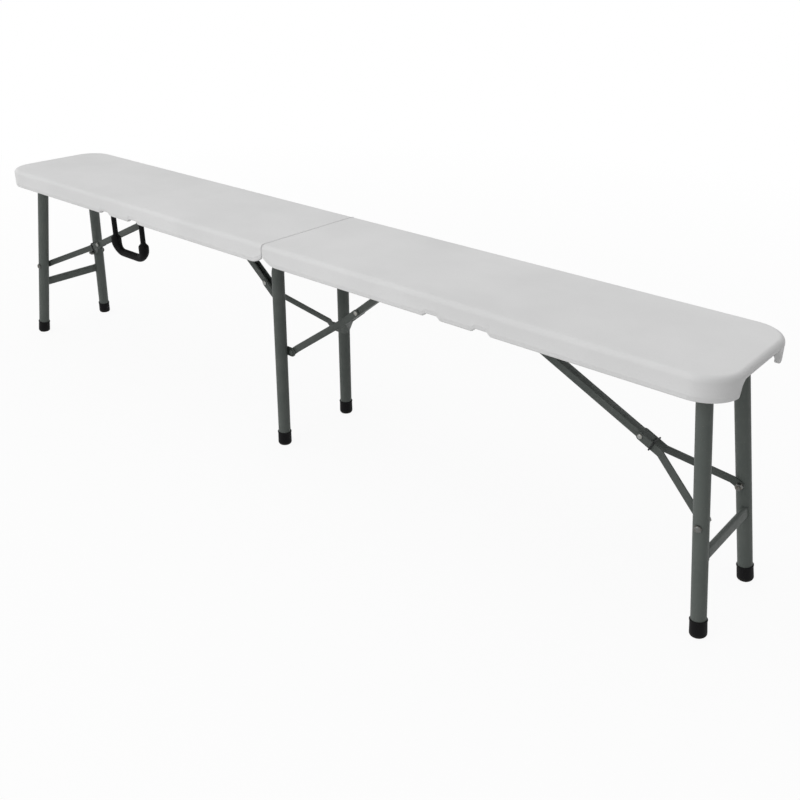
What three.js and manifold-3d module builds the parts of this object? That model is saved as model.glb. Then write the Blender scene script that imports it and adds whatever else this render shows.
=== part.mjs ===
// Folding bench: two moulded seat halves hinged over a middle leg frame, with folding end legs,
// knee braces and a carrying handle. Millimetres, X along the seat, Y across it, Z up from the floor.
import * as THREE from 'three';
import { mergeVertices } from 'three/addons/utils/BufferGeometryUtils.js';
import Module from 'manifold-3d';

const wasm = await Module();
wasm.setup();

// Seat
const seatLength = 1830;
const seatWidth = 260;
const seatHeight = 441;
const seatThickness = 40;
const seatCornerRadius = 60;
const topEdgeRadius = 10;
const bottomEdgeRadius = 4;
const rimWall = 10;
const deckWall = 11;
const jointGap = 1;
const jointLipWall = 9;
const jointLipDrop = 12;
const jointNotchReach = 34;
const jointNotchRise = 14;
const braceGrooveDepth = 4;
const braceGrooveWidth = 38;
const braceGrooveEndInset = 72;
const endArchInset = 55;
const endArchRise = 27.8;
const endArchRadius = 15;

// Handle slots in the near rim
const handleSpan = 101;
const handleMiddle = 458.5;
const slotWidth = 45;
const slotTopWidth = 33;
const slotRise = 6.5;

// Steel tube, caps and fasteners
const tubeRadius = 12.5;
const tubeWall = 1.2;
const capRadius = 14;
const capHeight = 29;
const capFloor = 5;
const capEdge = 3;
const capOverhang = 2;
const seatGap = 0.3;
const runningGap = 0.4;
const rivetRadius = 3;
const rivetHeadRadius = 5.4;
const rivetHeadHeight = 2.2;
const boltHeadRadius = 6.2;
const boltHeadHeight = 3.2;
const cutOverrun = 6;

// Centre hinge and middle legs
const foldAxisDrop = 4;
const middleTopInset = 40;
const middleFootInset = 35.5;
const middleElbowRadius = 24;
const middleElbowStraight = 6;
const middleBoltHeight = 208;
const middleBoltOffset = 16;
const legPlateWall = 2.5;
const legPlateHeight = 19;
const legPlateEnd = 9;
const hingeEarWall = 4;
const hingeEarSetback = 8;
const hingeEarRim = 4.5;
const hingePlateWall = 2.6;
const hingePlateStart = 13;
const hingePlateLength = 52;
const hingePlateMargin = 6;
const hingePlateWay = 30;
const hingePlateBridge = 14;

// End legs
const endPivotInset = 58;
const legAxisDrop = 15;
const endLegLean = 69;
const endTopInset = 64.4;
const endFootInset = 36.2;
const endBoltHeight = 184.7;
const crossbarHeight = 135;
const crossbarWidth = 20;
const crossbarDepth = 9;
const crossbarOffset = 5.1;
const crossbarWall = 1.5;
const crossbarEdge = 3.5;

// Side rails inside the rim
const railRimGap = 5;
const railDepth = 5;
const railTall = 20.7;
const railWall = 1.6;
const railStart = 24;
const railPastPivot = 16;
const pivotPlugLength = 14;

// Braces
const channelWidth = 16;
const channelHeight = 13;
const channelWall = 1.8;
const armHeight = 14;
const armWall = 2.5;
const endAnchorX = 385;
const endAnchorDrop = 10;
const endKneeFoldedDrop = 11;
const endTail = 22;
const endStemLength = 41;
const armTabLength = 15;
const braceHalvings = 60;
const middleAnchorX = 266;
const middleAnchorDrop = 15;
const middleTail = 6.8;
const middleStemLength = 17;
const middleArmTail = 24;
const clipWireRadius = 1.4;
const clipCorner = 2.6;
const anchorPlateWall = 2.4;
const anchorPlateLength = 30;
const anchorEarWall = 2.4;

// Carrying handle
const handleInset = 22;
const handlePivotDrop = 1;
const handleArmWidth = 13;
const handleArmDepth = 11;
const handleEyeRadius = 5.8;
const handlePinRadius = 2.6;
const handleDrop = 98;
const gripRadius = 10;
const gripRise = 42;
const gripCorner = 24;
const clevisWall = 2.4;
const clevisEarHalf = 6;
const clevisPlateWall = 2.4;

// How finely round shapes are faceted
const tubeSides = 16;
const smallSides = 12;
const wireSides = 8;
const cornerSteps = 6;
const edgeSteps = 3;

// Levels and axes worked out from the sizes above
const halfLength = seatLength / 2;
const halfWidth = seatWidth / 2;
const rimBottom = seatHeight - seatThickness;
const deckUnder = seatHeight - deckWall;
const grooveRoof = deckUnder + braceGrooveDepth;
const foldZ = rimBottom - foldAxisDrop;
const endPivotX = halfLength - endPivotInset;
const legAxisZ = deckUnder - legAxisDrop;
const innerHalf = halfWidth - rimWall;
const railInner = innerHalf - railRimGap - railDepth;
const middleTopHalf = halfWidth - middleTopInset;
const middleFootHalf = halfWidth - middleFootInset;
const middleCrossHalf = middleTopHalf - middleElbowRadius - middleElbowStraight;
const hingeEarInner = middleCrossHalf - hingeEarSetback - hingeEarWall;
const endTopHalf = halfWidth - endTopInset;
const endFootHalf = halfWidth - endFootInset;

// Materials as the object shows them
const seatPlastic = new THREE.MeshStandardMaterial({ color: 0xd6d6d4, roughness: 0.55, metalness: 0 });
const paintedSteel = new THREE.MeshStandardMaterial({ color: 0x505653, roughness: 0.45, metalness: 0.3 });
const blackPlastic = new THREE.MeshStandardMaterial({ color: 0x1a1a1b, roughness: 0.5, metalness: 0 });
const zincSteel = new THREE.MeshStandardMaterial({ color: 0xb4b6b4, roughness: 0.3, metalness: 0.9 });

// A closed geometry as a solid that can be joined and cut
function solid(geometry) {
  const plain = geometry.index ? geometry.toNonIndexed() : geometry.clone();
  plain.deleteAttribute('normal');
  plain.deleteAttribute('uv');
  const merged = mergeVertices(plain);
  const vertProperties = new Float32Array(merged.attributes.position.array);
  const triVerts = new Uint32Array(merged.index.array);
  return new wasm.Manifold(new wasm.Mesh({ numProp: 3, vertProperties, triVerts }));
}

// A solid turned back into a three.js geometry
function geometryOf(body) {
  const mesh = body.getMesh();
  const geometry = new THREE.BufferGeometry();
  geometry.setAttribute('position', new THREE.Float32BufferAttribute(mesh.vertProperties, 3));
  geometry.setIndex(Array.from(mesh.triVerts));
  geometry.computeVertexNormals();
  return geometry;
}

function join(first, ...others) {
  return others.reduce((sum, body) => sum.add(body), first);
}

function cut(first, ...others) {
  return others.reduce((sum, body) => sum.subtract(body), first);
}

function piece(name, body, material) {
  const mesh = new THREE.Mesh(geometryOf(body), material);
  mesh.name = name;
  return mesh;
}

// A box given by its lowest and highest corners
function block(low, high) {
  const geometry = new THREE.BoxGeometry(high[0] - low[0], high[1] - low[1], high[2] - low[2]);
  geometry.translate((low[0] + high[0]) / 2, (low[1] + high[1]) / 2, (low[2] + high[2]) / 2);
  return solid(geometry);
}

// A round bar along Y, from one side to the other, at a place in the XZ plane
function crossRod(radius, fromY, toY, x, z, sides = tubeSides) {
  const geometry = new THREE.CylinderGeometry(radius, radius, toY - fromY, sides);
  geometry.translate(x, (fromY + toY) / 2, z);
  return solid(geometry);
}

// A flat outline in the XZ plane, given thickness from one Y to another
function slab(shape, fromY, toY) {
  const geometry = new THREE.ExtrudeGeometry(shape, {
    depth: toY - fromY,
    bevelEnabled: false,
    curveSegments: cornerSteps,
  });
  geometry.rotateX(Math.PI / 2);
  geometry.translate(0, toY, 0);
  return solid(geometry);
}

// A flat outline in the XY plane, given height from one Z to another
function plank(shape, fromZ, toZ) {
  const geometry = new THREE.ExtrudeGeometry(shape, {
    depth: toZ - fromZ,
    bevelEnabled: false,
    curveSegments: cornerSteps,
  });
  geometry.translate(0, 0, fromZ);
  return solid(geometry);
}

// A tube with open ends about the Z axis
function openTube(outer, inner, fromZ, toZ) {
  const profile = [
    new THREE.Vector2(inner, fromZ),
    new THREE.Vector2(outer, fromZ),
    new THREE.Vector2(outer, toZ),
    new THREE.Vector2(inner, toZ),
    new THREE.Vector2(inner, fromZ),
  ];
  const geometry = new THREE.LatheGeometry(profile, tubeSides);
  geometry.rotateX(Math.PI / 2);
  return geometry;
}

// A line through chosen points that a section is swept along
class BentLine extends THREE.Curve {
  constructor(points) {
    super();
    this.points = points;
  }

  getPointAt(share) {
    return this.points[Math.round(share * (this.points.length - 1))].clone();
  }

  getTangentAt(share) {
    const last = this.points.length - 1;
    const here = Math.round(share * last);
    const before = this.points[Math.max(here - 1, 0)];
    const after = this.points[Math.min(here + 1, last)];
    return after.clone().sub(before).normalize();
  }
}

// Corner points replaced by arcs of one radius
function roundedLine(corners, radius, steps = cornerSteps) {
  const points = [corners[0].clone()];
  for (let i = 1; i < corners.length - 1; i += 1) {
    const corner = corners[i];
    const back = corners[i - 1].clone().sub(corner).normalize();
    const ahead = corners[i + 1].clone().sub(corner).normalize();
    const halfAngle = back.angleTo(ahead) / 2;
    const setback = radius / Math.tan(halfAngle);
    const toCentre = back.clone().add(ahead).normalize();
    const centre = corner.clone().addScaledVector(toCentre, radius / Math.sin(halfAngle));
    const start = corner.clone().addScaledVector(back, setback).sub(centre);
    const end = corner.clone().addScaledVector(ahead, setback).sub(centre);
    const turn = start.angleTo(end);
    const axis = start.clone().cross(end).normalize();
    for (let k = 0; k <= steps; k += 1) {
      points.push(start.clone().applyAxisAngle(axis, (turn * k) / steps).add(centre));
    }
  }
  points.push(corners[corners.length - 1].clone());
  return points;
}

function circleShape(radius, sides, boreRadius = 0) {
  const ring = (size) => Array.from({ length: sides }, (_, i) => {
    const angle = (2 * Math.PI * i) / sides;
    return new THREE.Vector2(size * Math.cos(angle), size * Math.sin(angle));
  });
  const shape = new THREE.Shape(ring(radius));
  if (boreRadius > 0) {
    shape.holes.push(new THREE.Path(ring(boreRadius).reverse()));
  }
  return shape;
}

function sweep(shape, points) {
  const extrudePath = new BentLine(points);
  return solid(new THREE.ExtrudeGeometry(shape, { steps: points.length - 1, extrudePath }));
}

// A bar outline with full round ends, from one X to another, centred on a line Z
function roundBar(fromX, toX, height, middleZ = 0) {
  const radius = height / 2;
  const shape = new THREE.Shape();
  shape.absarc(toX - radius, middleZ, radius, -Math.PI / 2, Math.PI / 2, false);
  shape.absarc(fromX + radius, middleZ, radius, Math.PI / 2, (3 * Math.PI) / 2, false);
  return shape;
}

// A strip of even thickness that follows corner points in the XY plane
function stripShape(points, thickness) {
  const offset = (side) => points.map((point, i) => {
    const before = points[Math.max(i - 1, 0)];
    const after = points[Math.min(i + 1, points.length - 1)];
    const into = point.clone().sub(before).normalize();
    const out = after.clone().sub(point).normalize();
    const first = i === 0 ? out : into;
    const second = i === points.length - 1 ? into : out;
    const normal = new THREE.Vector2(-first.y - second.y, first.x + second.x).normalize();
    const reach = (side * thickness) / 2 / Math.sqrt((1 + first.dot(second)) / 2);
    return point.clone().addScaledVector(normal, reach);
  });
  return new THREE.Shape([...offset(-1), ...offset(1).reverse()]);
}

// Plan outline of a seat half or of its recess: square at the joint, round at the far end
function seatOutline(fromX, toX, half, radius) {
  const shape = new THREE.Shape();
  shape.moveTo(fromX, -half);
  shape.lineTo(toX - radius, -half);
  shape.absarc(toX - radius, radius - half, radius, -Math.PI / 2, 0, false);
  shape.absarc(toX - radius, half - radius, radius, 0, Math.PI / 2, false);
  shape.lineTo(fromX, half);
  return shape;
}

// The outer form of a seat half, rounded along its top and bottom edges
function seatForm() {
  const outline = seatOutline(-topEdgeRadius - cutOverrun, halfLength, halfWidth, seatCornerRadius);
  const rounded = (radius, lift) => {
    const geometry = new THREE.ExtrudeGeometry(outline, {
      depth: seatThickness,
      bevelEnabled: true,
      bevelThickness: radius,
      bevelSize: radius,
      bevelOffset: -radius,
      bevelSegments: edgeSteps,
      curveSegments: cornerSteps,
    });
    geometry.translate(0, 0, lift);
    return solid(geometry);
  };
  const roundOnTop = rounded(topEdgeRadius, seatHeight - seatThickness - topEdgeRadius);
  const roundBelow = rounded(bottomEdgeRadius, rimBottom + bottomEdgeRadius);
  return roundOnTop.intersect(roundBelow);
}

// Arched cut in the end wall, between two corner lobes
function endArch() {
  const half = halfWidth - endArchInset;
  const top = rimBottom + endArchRise;
  const bottom = rimBottom - cutOverrun;
  const shape = new THREE.Shape();
  shape.moveTo(-half, bottom);
  shape.lineTo(half, bottom);
  shape.absarc(half - endArchRadius, top - endArchRadius, endArchRadius, 0, Math.PI / 2, false);
  shape.absarc(endArchRadius - half, top - endArchRadius, endArchRadius, Math.PI / 2, Math.PI, false);
  const geometry = new THREE.ExtrudeGeometry(shape, {
    depth: rimWall + cutOverrun * 2,
    bevelEnabled: false,
    curveSegments: cornerSteps,
  });
  geometry.rotateX(Math.PI / 2);
  geometry.rotateZ(Math.PI / 2);
  geometry.translate(halfLength - rimWall - cutOverrun, 0, 0);
  return solid(geometry);
}

// Clearance slots in the near rim, where the handle's arms come out of the folded bench
function rimSlots(nearSide) {
  const from = nearSide > 0 ? innerHalf - cutOverrun / 2 : -halfWidth - cutOverrun;
  const to = nearSide > 0 ? halfWidth + cutOverrun : cutOverrun / 2 - innerHalf;
  return [-1, 1].map((end) => {
    const middle = handleMiddle + (end * handleSpan) / 2;
    const shape = new THREE.Shape([
      new THREE.Vector2(middle - slotWidth / 2, rimBottom - cutOverrun),
      new THREE.Vector2(middle + slotWidth / 2, rimBottom - cutOverrun),
      new THREE.Vector2(middle + slotWidth / 2, rimBottom),
      new THREE.Vector2(middle + slotTopWidth / 2, rimBottom + slotRise),
      new THREE.Vector2(middle - slotTopWidth / 2, rimBottom + slotRise),
      new THREE.Vector2(middle - slotWidth / 2, rimBottom),
    ]);
    return slab(shape, from, to);
  });
}

// The rim's lower corner at the joint, cut back so that both corners make an inverted V
function jointNotch() {
  const shape = new THREE.Shape();
  shape.moveTo(-cutOverrun, rimBottom - cutOverrun);
  shape.lineTo(jointNotchReach, rimBottom - cutOverrun);
  shape.lineTo(jointNotchReach, rimBottom);
  shape.quadraticCurveTo(jointNotchReach / 2, rimBottom, jointGap / 2, rimBottom + jointNotchRise);
  shape.lineTo(-cutOverrun, rimBottom + jointNotchRise);
  return slab(shape, -halfWidth - cutOverrun, halfWidth + cutOverrun);
}

function seatHalf(nearSide) {
  const lipFace = jointGap / 2 + jointLipWall;
  const recess = plank(
    seatOutline(lipFace, halfLength - rimWall, innerHalf, seatCornerRadius - rimWall),
    rimBottom - cutOverrun,
    deckUnder,
  );
  const lipWay = block(
    [-cutOverrun, -innerHalf, rimBottom - cutOverrun],
    [lipFace + cutOverrun, innerHalf, deckUnder - jointLipDrop],
  );
  const groove = block(
    [lipFace, -braceGrooveWidth / 2, deckUnder - cutOverrun],
    [halfLength - braceGrooveEndInset, braceGrooveWidth / 2, grooveRoof],
  );
  const jointSide = block(
    [-seatLength, -seatWidth, 0],
    [jointGap / 2, seatWidth, seatHeight + cutOverrun],
  );
  return cut(
    seatForm(),
    recess,
    lipWay,
    groove,
    jointSide,
    endArch(),
    jointNotch(),
    ...rimSlots(nearSide),
  );
}

// Rolled rail along the inside of the rim, with the plug that the end legs' cross tube turns on
function sideRail(side) {
  const bottom = deckUnder - seatGap - railTall;
  const top = deckUnder - seatGap;
  const inner = railInner;
  const outer = railInner + railDepth;
  const shape = new THREE.Shape([
    new THREE.Vector2(inner, bottom),
    new THREE.Vector2(outer, bottom),
    new THREE.Vector2(outer, bottom + railWall),
    new THREE.Vector2(inner + railWall, bottom + railWall),
    new THREE.Vector2(inner + railWall, top - railWall),
    new THREE.Vector2(outer, top - railWall),
    new THREE.Vector2(outer, top),
    new THREE.Vector2(inner, top),
  ]);
  const geometry = new THREE.ExtrudeGeometry(shape, {
    depth: endPivotX + railPastPivot - railStart,
    bevelEnabled: false,
  });
  geometry.rotateX(Math.PI / 2);
  geometry.rotateZ(Math.PI / 2);
  geometry.translate(railStart, 0, 0);
  const plugRadius = tubeRadius - tubeWall - runningGap;
  const plug = crossRod(plugRadius, railInner - pivotPlugLength, railInner + railWall, endPivotX, legAxisZ);
  const rail = join(solid(geometry), plug);
  return side > 0 ? rail : rail.mirror([0, 1, 0]);
}

// Hinge plate under the deck, with two ears round the middle cross tube
function hingeBracket(earInner) {
  const boreRadius = tubeRadius + runningGap;
  const earRadius = boreRadius + hingeEarRim;
  const plateTop = deckUnder - seatGap;
  const plateEnd = hingePlateStart + hingePlateLength;
  const plateHalf = earInner + hingeEarWall + hingePlateMargin;
  const plate = block(
    [hingePlateStart, -plateHalf, plateTop - hingePlateWall],
    [plateEnd, plateHalf, plateTop],
  );
  const outline = new THREE.Shape();
  outline.moveTo(plateEnd, plateTop);
  outline.lineTo(hingePlateStart, plateTop);
  outline.lineTo(hingePlateStart, foldZ + earRadius);
  outline.absarc(0, foldZ, earRadius, Math.PI / 2, (7 * Math.PI) / 4, false);
  const ears = [1, -1].map((side) => {
    const from = side > 0 ? earInner : -earInner - hingeEarWall;
    return slab(outline, from, from + hingeEarWall);
  });
  const bores = crossRod(boreRadius, -halfWidth, halfWidth, 0, foldZ);
  const braceWay = block(
    [hingePlateStart + hingePlateBridge, -hingePlateWay / 2, plateTop - cutOverrun],
    [plateEnd + cutOverrun, hingePlateWay / 2, plateTop + cutOverrun],
  );
  return cut(join(plate, ...ears), bores, braceWay);
}

// Bracket that carries a brace's upper end, with its pin
function anchorBracket(x, z, roof) {
  const earInner = channelWidth / 2 + runningGap;
  const earOuter = earInner + anchorEarWall;
  const top = roof - seatGap;
  const plate = block(
    [x - anchorPlateLength / 2, -earOuter, top - anchorPlateWall],
    [x + anchorPlateLength / 2, earOuter, top],
  );
  const earRadius = channelHeight / 2;
  const outline = new THREE.Shape();
  outline.moveTo(x + anchorPlateLength / 2, top);
  outline.lineTo(x - anchorPlateLength / 2, top);
  outline.absarc(x, z, earRadius, Math.PI, 2 * Math.PI, false);
  const ears = [1, -1].map((side) => {
    const from = side > 0 ? earInner : -earOuter;
    return slab(outline, from, from + anchorEarWall);
  });
  const pin = crossRod(rivetRadius, -earOuter - seatGap, earOuter + seatGap, x, z, smallSides);
  return join(plate, ...ears, pin);
}

// The line of an end leg, from the cross tube's axis to the floor
function endLegLine(side) {
  const top = new THREE.Vector3(endPivotX, side * endTopHalf, legAxisZ);
  const foot = new THREE.Vector3(endPivotX + endLegLean, side * endFootHalf, 0);
  return { top, foot };
}

// How far out an end leg's axis is at a height above the floor
function endLegHalfAt(height) {
  return endTopHalf + ((legAxisZ - height) / legAxisZ) * (endFootHalf - endTopHalf);
}

function endLegXAt(height) {
  return endPivotX + ((legAxisZ - height) / legAxisZ) * endLegLean;
}

// Turns and moves a geometry made along Z so that it starts at one point and runs to another
function along(geometry, start, end) {
  const direction = end.clone().sub(start).normalize();
  const turn = new THREE.Quaternion().setFromUnitVectors(new THREE.Vector3(0, 0, 1), direction);
  geometry.applyQuaternion(turn);
  geometry.translate(start.x, start.y, start.z);
  return geometry;
}

// A tube between two points as a full round bar, wide enough to cut its neighbours
function legCutter(start, end) {
  const length = start.distanceTo(end);
  const geometry = new THREE.CylinderGeometry(
    tubeRadius + seatGap,
    tubeRadius + seatGap,
    length,
    tubeSides,
  );
  geometry.rotateX(Math.PI / 2);
  geometry.translate(0, 0, length / 2);
  return solid(along(geometry, start, end));
}

function endLeg(side) {
  const { top, foot } = endLegLine(side);
  const length = top.distanceTo(foot) - capFloor - seatGap;
  const tube = solid(along(openTube(tubeRadius, tubeRadius - tubeWall, 0, length), top, foot));
  const seatCut = crossRod(tubeRadius + seatGap, -halfWidth, halfWidth, endPivotX, legAxisZ);
  const boltHole = crossRod(
    rivetRadius + runningGap,
    -halfWidth,
    halfWidth,
    endLegXAt(endBoltHeight),
    endBoltHeight,
    smallSides,
  );
  return cut(tube, seatCut, boltHole);
}

// Cup-shaped foot cap, flat where it stands on the floor
function footCap(top, foot) {
  const bore = tubeRadius + seatGap;
  const profile = [
    new THREE.Vector2(0, -capOverhang),
    new THREE.Vector2(capRadius - capEdge, -capOverhang),
    new THREE.Vector2(capRadius, capEdge - capOverhang),
    new THREE.Vector2(capRadius, capHeight),
    new THREE.Vector2(bore, capHeight),
    new THREE.Vector2(bore, capFloor),
    new THREE.Vector2(0, capFloor),
  ];
  const geometry = new THREE.LatheGeometry(profile, tubeSides);
  geometry.rotateX(Math.PI / 2);
  const cup = solid(along(geometry, foot, top));
  const underFloor = block(
    [foot.x - capHeight, foot.y - capHeight, -capHeight],
    [foot.x + capHeight, foot.y + capHeight, 0],
  );
  return cut(cup, underFloor);
}

function endCrossTube() {
  const end = railInner - seatGap;
  const geometry = openTube(tubeRadius, tubeRadius - tubeWall, -end, end);
  geometry.rotateX(Math.PI / 2);
  geometry.translate(endPivotX, 0, legAxisZ);
  return solid(geometry);
}

// A rounded rectangle, hollow when it is given a wall
function roundedBox(width, depth, radius, wall) {
  const trace = (target, w, d, r) => {
    target.absarc(w / 2 - r, r - d / 2, r, -Math.PI / 2, 0, false);
    target.absarc(w / 2 - r, d / 2 - r, r, 0, Math.PI / 2, false);
    target.absarc(r - w / 2, d / 2 - r, r, Math.PI / 2, Math.PI, false);
    target.absarc(r - w / 2, r - d / 2, r, Math.PI, (3 * Math.PI) / 2, false);
    return target;
  };
  const shape = trace(new THREE.Shape(), width, depth, radius);
  shape.holes.push(trace(new THREE.Path(), width - wall * 2, depth - wall * 2, radius - wall));
  return shape;
}

// Flattened tube welded between the two end legs, on their outer side
function endCrossbar() {
  const lean = Math.atan2(endLegLean, legAxisZ);
  const half = endLegHalfAt(crossbarHeight);
  const geometry = new THREE.ExtrudeGeometry(
    roundedBox(crossbarDepth, crossbarWidth, crossbarEdge, crossbarWall),
    { depth: half * 2, bevelEnabled: false, curveSegments: edgeSteps },
  );
  geometry.rotateX(Math.PI / 2);
  geometry.translate(0, half, 0);
  geometry.rotateY(-lean);
  geometry.translate(
    endLegXAt(crossbarHeight) + crossbarOffset * Math.cos(lean),
    0,
    crossbarHeight + crossbarOffset * Math.sin(lean),
  );
  const legs = [1, -1].map((side) => {
    const { top, foot } = endLegLine(side);
    return legCutter(top, foot);
  });
  return cut(solid(geometry), ...legs);
}

// Bolt through an end leg, with its domed head on the outside
function legBolt(side) {
  const x = endLegXAt(endBoltHeight);
  const splay = Math.cos(Math.atan2(endFootHalf - endTopHalf, legAxisZ));
  const axisHalf = endLegHalfAt(endBoltHeight);
  const headFace = axisHalf + tubeRadius / splay + seatGap * 2;
  const inner = axisHalf - tubeRadius / splay + tubeWall / 2;
  const profile = [
    new THREE.Vector2(0, inner),
    new THREE.Vector2(rivetRadius, inner),
    new THREE.Vector2(rivetRadius, headFace),
    new THREE.Vector2(boltHeadRadius, headFace),
    new THREE.Vector2(boltHeadRadius, headFace + boltHeadHeight / 3),
    new THREE.Vector2(boltHeadRadius / 2, headFace + boltHeadHeight),
    new THREE.Vector2(0, headFace + boltHeadHeight),
  ];
  const geometry = new THREE.LatheGeometry(profile, smallSides);
  geometry.translate(x, 0, endBoltHeight);
  const body = solid(geometry);
  return side > 0 ? body : body.mirror([0, 1, 0]);
}

// A brace's pivots in the XZ plane: anchor on the seat, knee, and the bolt on the leg
function distance(a, b) {
  return Math.hypot(a.x - b.x, a.z - b.z);
}

function pointBetween(from, to, reach) {
  const share = reach / distance(from, to);
  return { x: from.x + (to.x - from.x) * share, z: from.z + (to.z - from.z) * share };
}

// The end brace is straight when open. Its knee's place along the deck when folded follows from that
function endBrace() {
  const anchor = { x: endAnchorX, z: grooveRoof - endAnchorDrop };
  const bolt = { x: endLegXAt(endBoltHeight), z: endBoltHeight };
  const boltReach = Math.hypot(bolt.x - endPivotX, legAxisZ - bolt.z);
  const foldedBolt = { x: endPivotX - boltReach, z: legAxisZ };
  const span = distance(anchor, bolt);
  let low = foldedBolt.x;
  let high = endPivotX;
  const folded = { x: low, z: deckUnder - endKneeFoldedDrop };
  for (let halving = 0; halving < braceHalvings; halving += 1) {
    folded.x = (low + high) / 2;
    if (distance(anchor, folded) + distance(folded, foldedBolt) < span) {
      low = folded.x;
    } else {
      high = folded.x;
    }
  }
  const upper = distance(anchor, folded);
  return { anchor, bolt, knee: pointBetween(anchor, bolt, upper), upper, lower: span - upper };
}

// The middle brace lies flat when folded, so half the difference of two reaches sets its knee
function middleBrace() {
  const anchor = { x: middleAnchorX, z: deckUnder - middleAnchorDrop };
  const bolt = { x: middleBoltOffset, z: middleBoltHeight };
  const foldedBolt = { x: foldZ - middleBoltHeight, z: foldZ + middleBoltOffset };
  const span = distance(anchor, bolt);
  const lower = (span - distance(anchor, foldedBolt)) / 2;
  const upper = span - lower;
  return { anchor, bolt, knee: pointBetween(anchor, bolt, upper), upper, lower };
}

function slopeOf(brace) {
  return Math.atan2(brace.anchor.z - brace.bolt.z, brace.bolt.x - brace.anchor.x);
}

// A group whose X runs down a brace from a pivot
function braceGroup(place, slope) {
  const group = new THREE.Group();
  group.position.set(place.x, 0, place.z);
  group.rotation.y = slope;
  return group;
}

// Upper link: an inverted channel with round ends, from its anchor pin past its knee
function upperLink(length, tail) {
  const half = channelWidth / 2;
  const profile = roundBar(-channelHeight / 2, length + tail, channelHeight);
  const outer = slab(profile, -half, half);
  const inside = block(
    [-channelHeight, channelWall - half, -channelHeight],
    [length + tail + channelHeight, half - channelWall, channelHeight / 2 - channelWall],
  );
  const hole = rivetRadius + runningGap;
  return cut(
    outer,
    inside,
    crossRod(hole, -channelWidth, channelWidth, 0, 0, smallSides),
    crossRod(hole, -channelWidth, channelWidth, length, 0, smallSides),
  );
}

// Rivet or stub across a link, with domed heads where it has them
function crossRivet(half, headed) {
  const ends = headed
    ? [
      new THREE.Vector2(rivetRadius, -half),
      new THREE.Vector2(rivetHeadRadius, -half),
      new THREE.Vector2(rivetHeadRadius / 2, -half - rivetHeadHeight),
      new THREE.Vector2(0, -half - rivetHeadHeight),
    ]
    : [new THREE.Vector2(rivetRadius, -half), new THREE.Vector2(0, -half)];
  const other = ends.map((point) => new THREE.Vector2(point.x, -point.y));
  const profile = [...ends.reverse(), ...other];
  return solid(new THREE.LatheGeometry(profile, smallSides));
}

// A domed head standing on a face at one Y, pointing outward or inward
function domeHead(x, faceY, direction) {
  const profile = [
    new THREE.Vector2(0, -armWall / 2),
    new THREE.Vector2(rivetHeadRadius, -armWall / 2),
    new THREE.Vector2(rivetHeadRadius, rivetHeadHeight / 3),
    new THREE.Vector2(rivetHeadRadius / 2, rivetHeadHeight),
    new THREE.Vector2(0, rivetHeadHeight),
  ];
  const geometry = new THREE.LatheGeometry(profile, smallSides);
  if (direction < 0) {
    geometry.rotateX(Math.PI);
  }
  geometry.translate(x, faceY, 0);
  return solid(geometry);
}

// Lower arm: a flat bar that runs beside its twin, bends out to the leg and ends in a round tab
function lowerArm(fromX, stemEnd, reach, tabFace) {
  const stem = channelWidth / 2 + runningGap + armWall / 2;
  const tab = tabFace - armWall / 2;
  const plan = stripShape(
    [
      new THREE.Vector2(fromX - armHeight / 2, stem),
      new THREE.Vector2(stemEnd, stem),
      new THREE.Vector2(reach - armTabLength, tab),
      new THREE.Vector2(reach + armHeight / 2, tab),
    ],
    armWall,
  );
  const sheet = plank(plan, -armHeight, armHeight);
  const side = slab(
    roundBar(fromX - armHeight / 2, reach + armHeight / 2, armHeight),
    0,
    halfWidth,
  );
  return sheet.intersect(side);
}

// How far out the end arms' tabs may reach beside the splayed legs
function endTabFace() {
  const splay = Math.cos(Math.atan2(endFootHalf - endTopHalf, legAxisZ));
  return endLegHalfAt(endBoltHeight + armHeight) - tubeRadius / splay - runningGap;
}

function endArm(side, brace) {
  const tabFace = endTabFace();
  const arm = join(
    lowerArm(0, endStemLength, brace.lower, tabFace),
    domeHead(brace.lower, tabFace - armWall, -1),
  );
  const hole = crossRod(rivetRadius + runningGap, 0, channelWidth, 0, 0, smallSides);
  const body = cut(arm, hole);
  return side > 0 ? body : body.mirror([0, 1, 0]);
}

// The inner face of a middle leg's plate
function legPlateOuter() {
  const atBolt = middleFootHalf + (middleTopHalf - middleFootHalf) * (middleBoltHeight / foldZ);
  return atBolt - tubeRadius - seatGap * 2;
}

function middleArm(side, brace) {
  const plateOuter = legPlateOuter();
  const tabFace = plateOuter - legPlateWall - runningGap;
  const headFace = plateOuter + seatGap;
  const arm = join(
    lowerArm(-middleArmTail, middleStemLength, brace.lower, tabFace),
    domeHead(-middleArmTail, channelWidth / 2 + runningGap + armWall, 1),
    crossRod(rivetRadius, tabFace - armWall / 2, headFace + seatGap, brace.lower, 0, smallSides),
    domeHead(brace.lower, headFace + armWall / 2, 1),
  );
  return side > 0 ? arm : arm.mirror([0, 1, 0]);
}

// Wire clip that slides on the arms and locks the knee. It is open below, so the link can fold in
function lockClip() {
  const sideY = channelWidth / 2 + runningGap * 2 + armWall + clipWireRadius;
  const levelZ = armHeight / 2 + runningGap + clipWireRadius;
  const tipY = channelWidth / 2 + runningGap + clipWireRadius / 2;
  const corners = [
    new THREE.Vector3(0, -tipY, -levelZ),
    new THREE.Vector3(0, -sideY, -levelZ),
    new THREE.Vector3(0, -sideY, levelZ),
    new THREE.Vector3(0, sideY, levelZ),
    new THREE.Vector3(0, sideY, -levelZ),
    new THREE.Vector3(0, tipY, -levelZ),
  ];
  return sweep(circleShape(clipWireRadius, wireSides), roundedLine(corners, clipCorner, edgeSteps));
}

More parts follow.
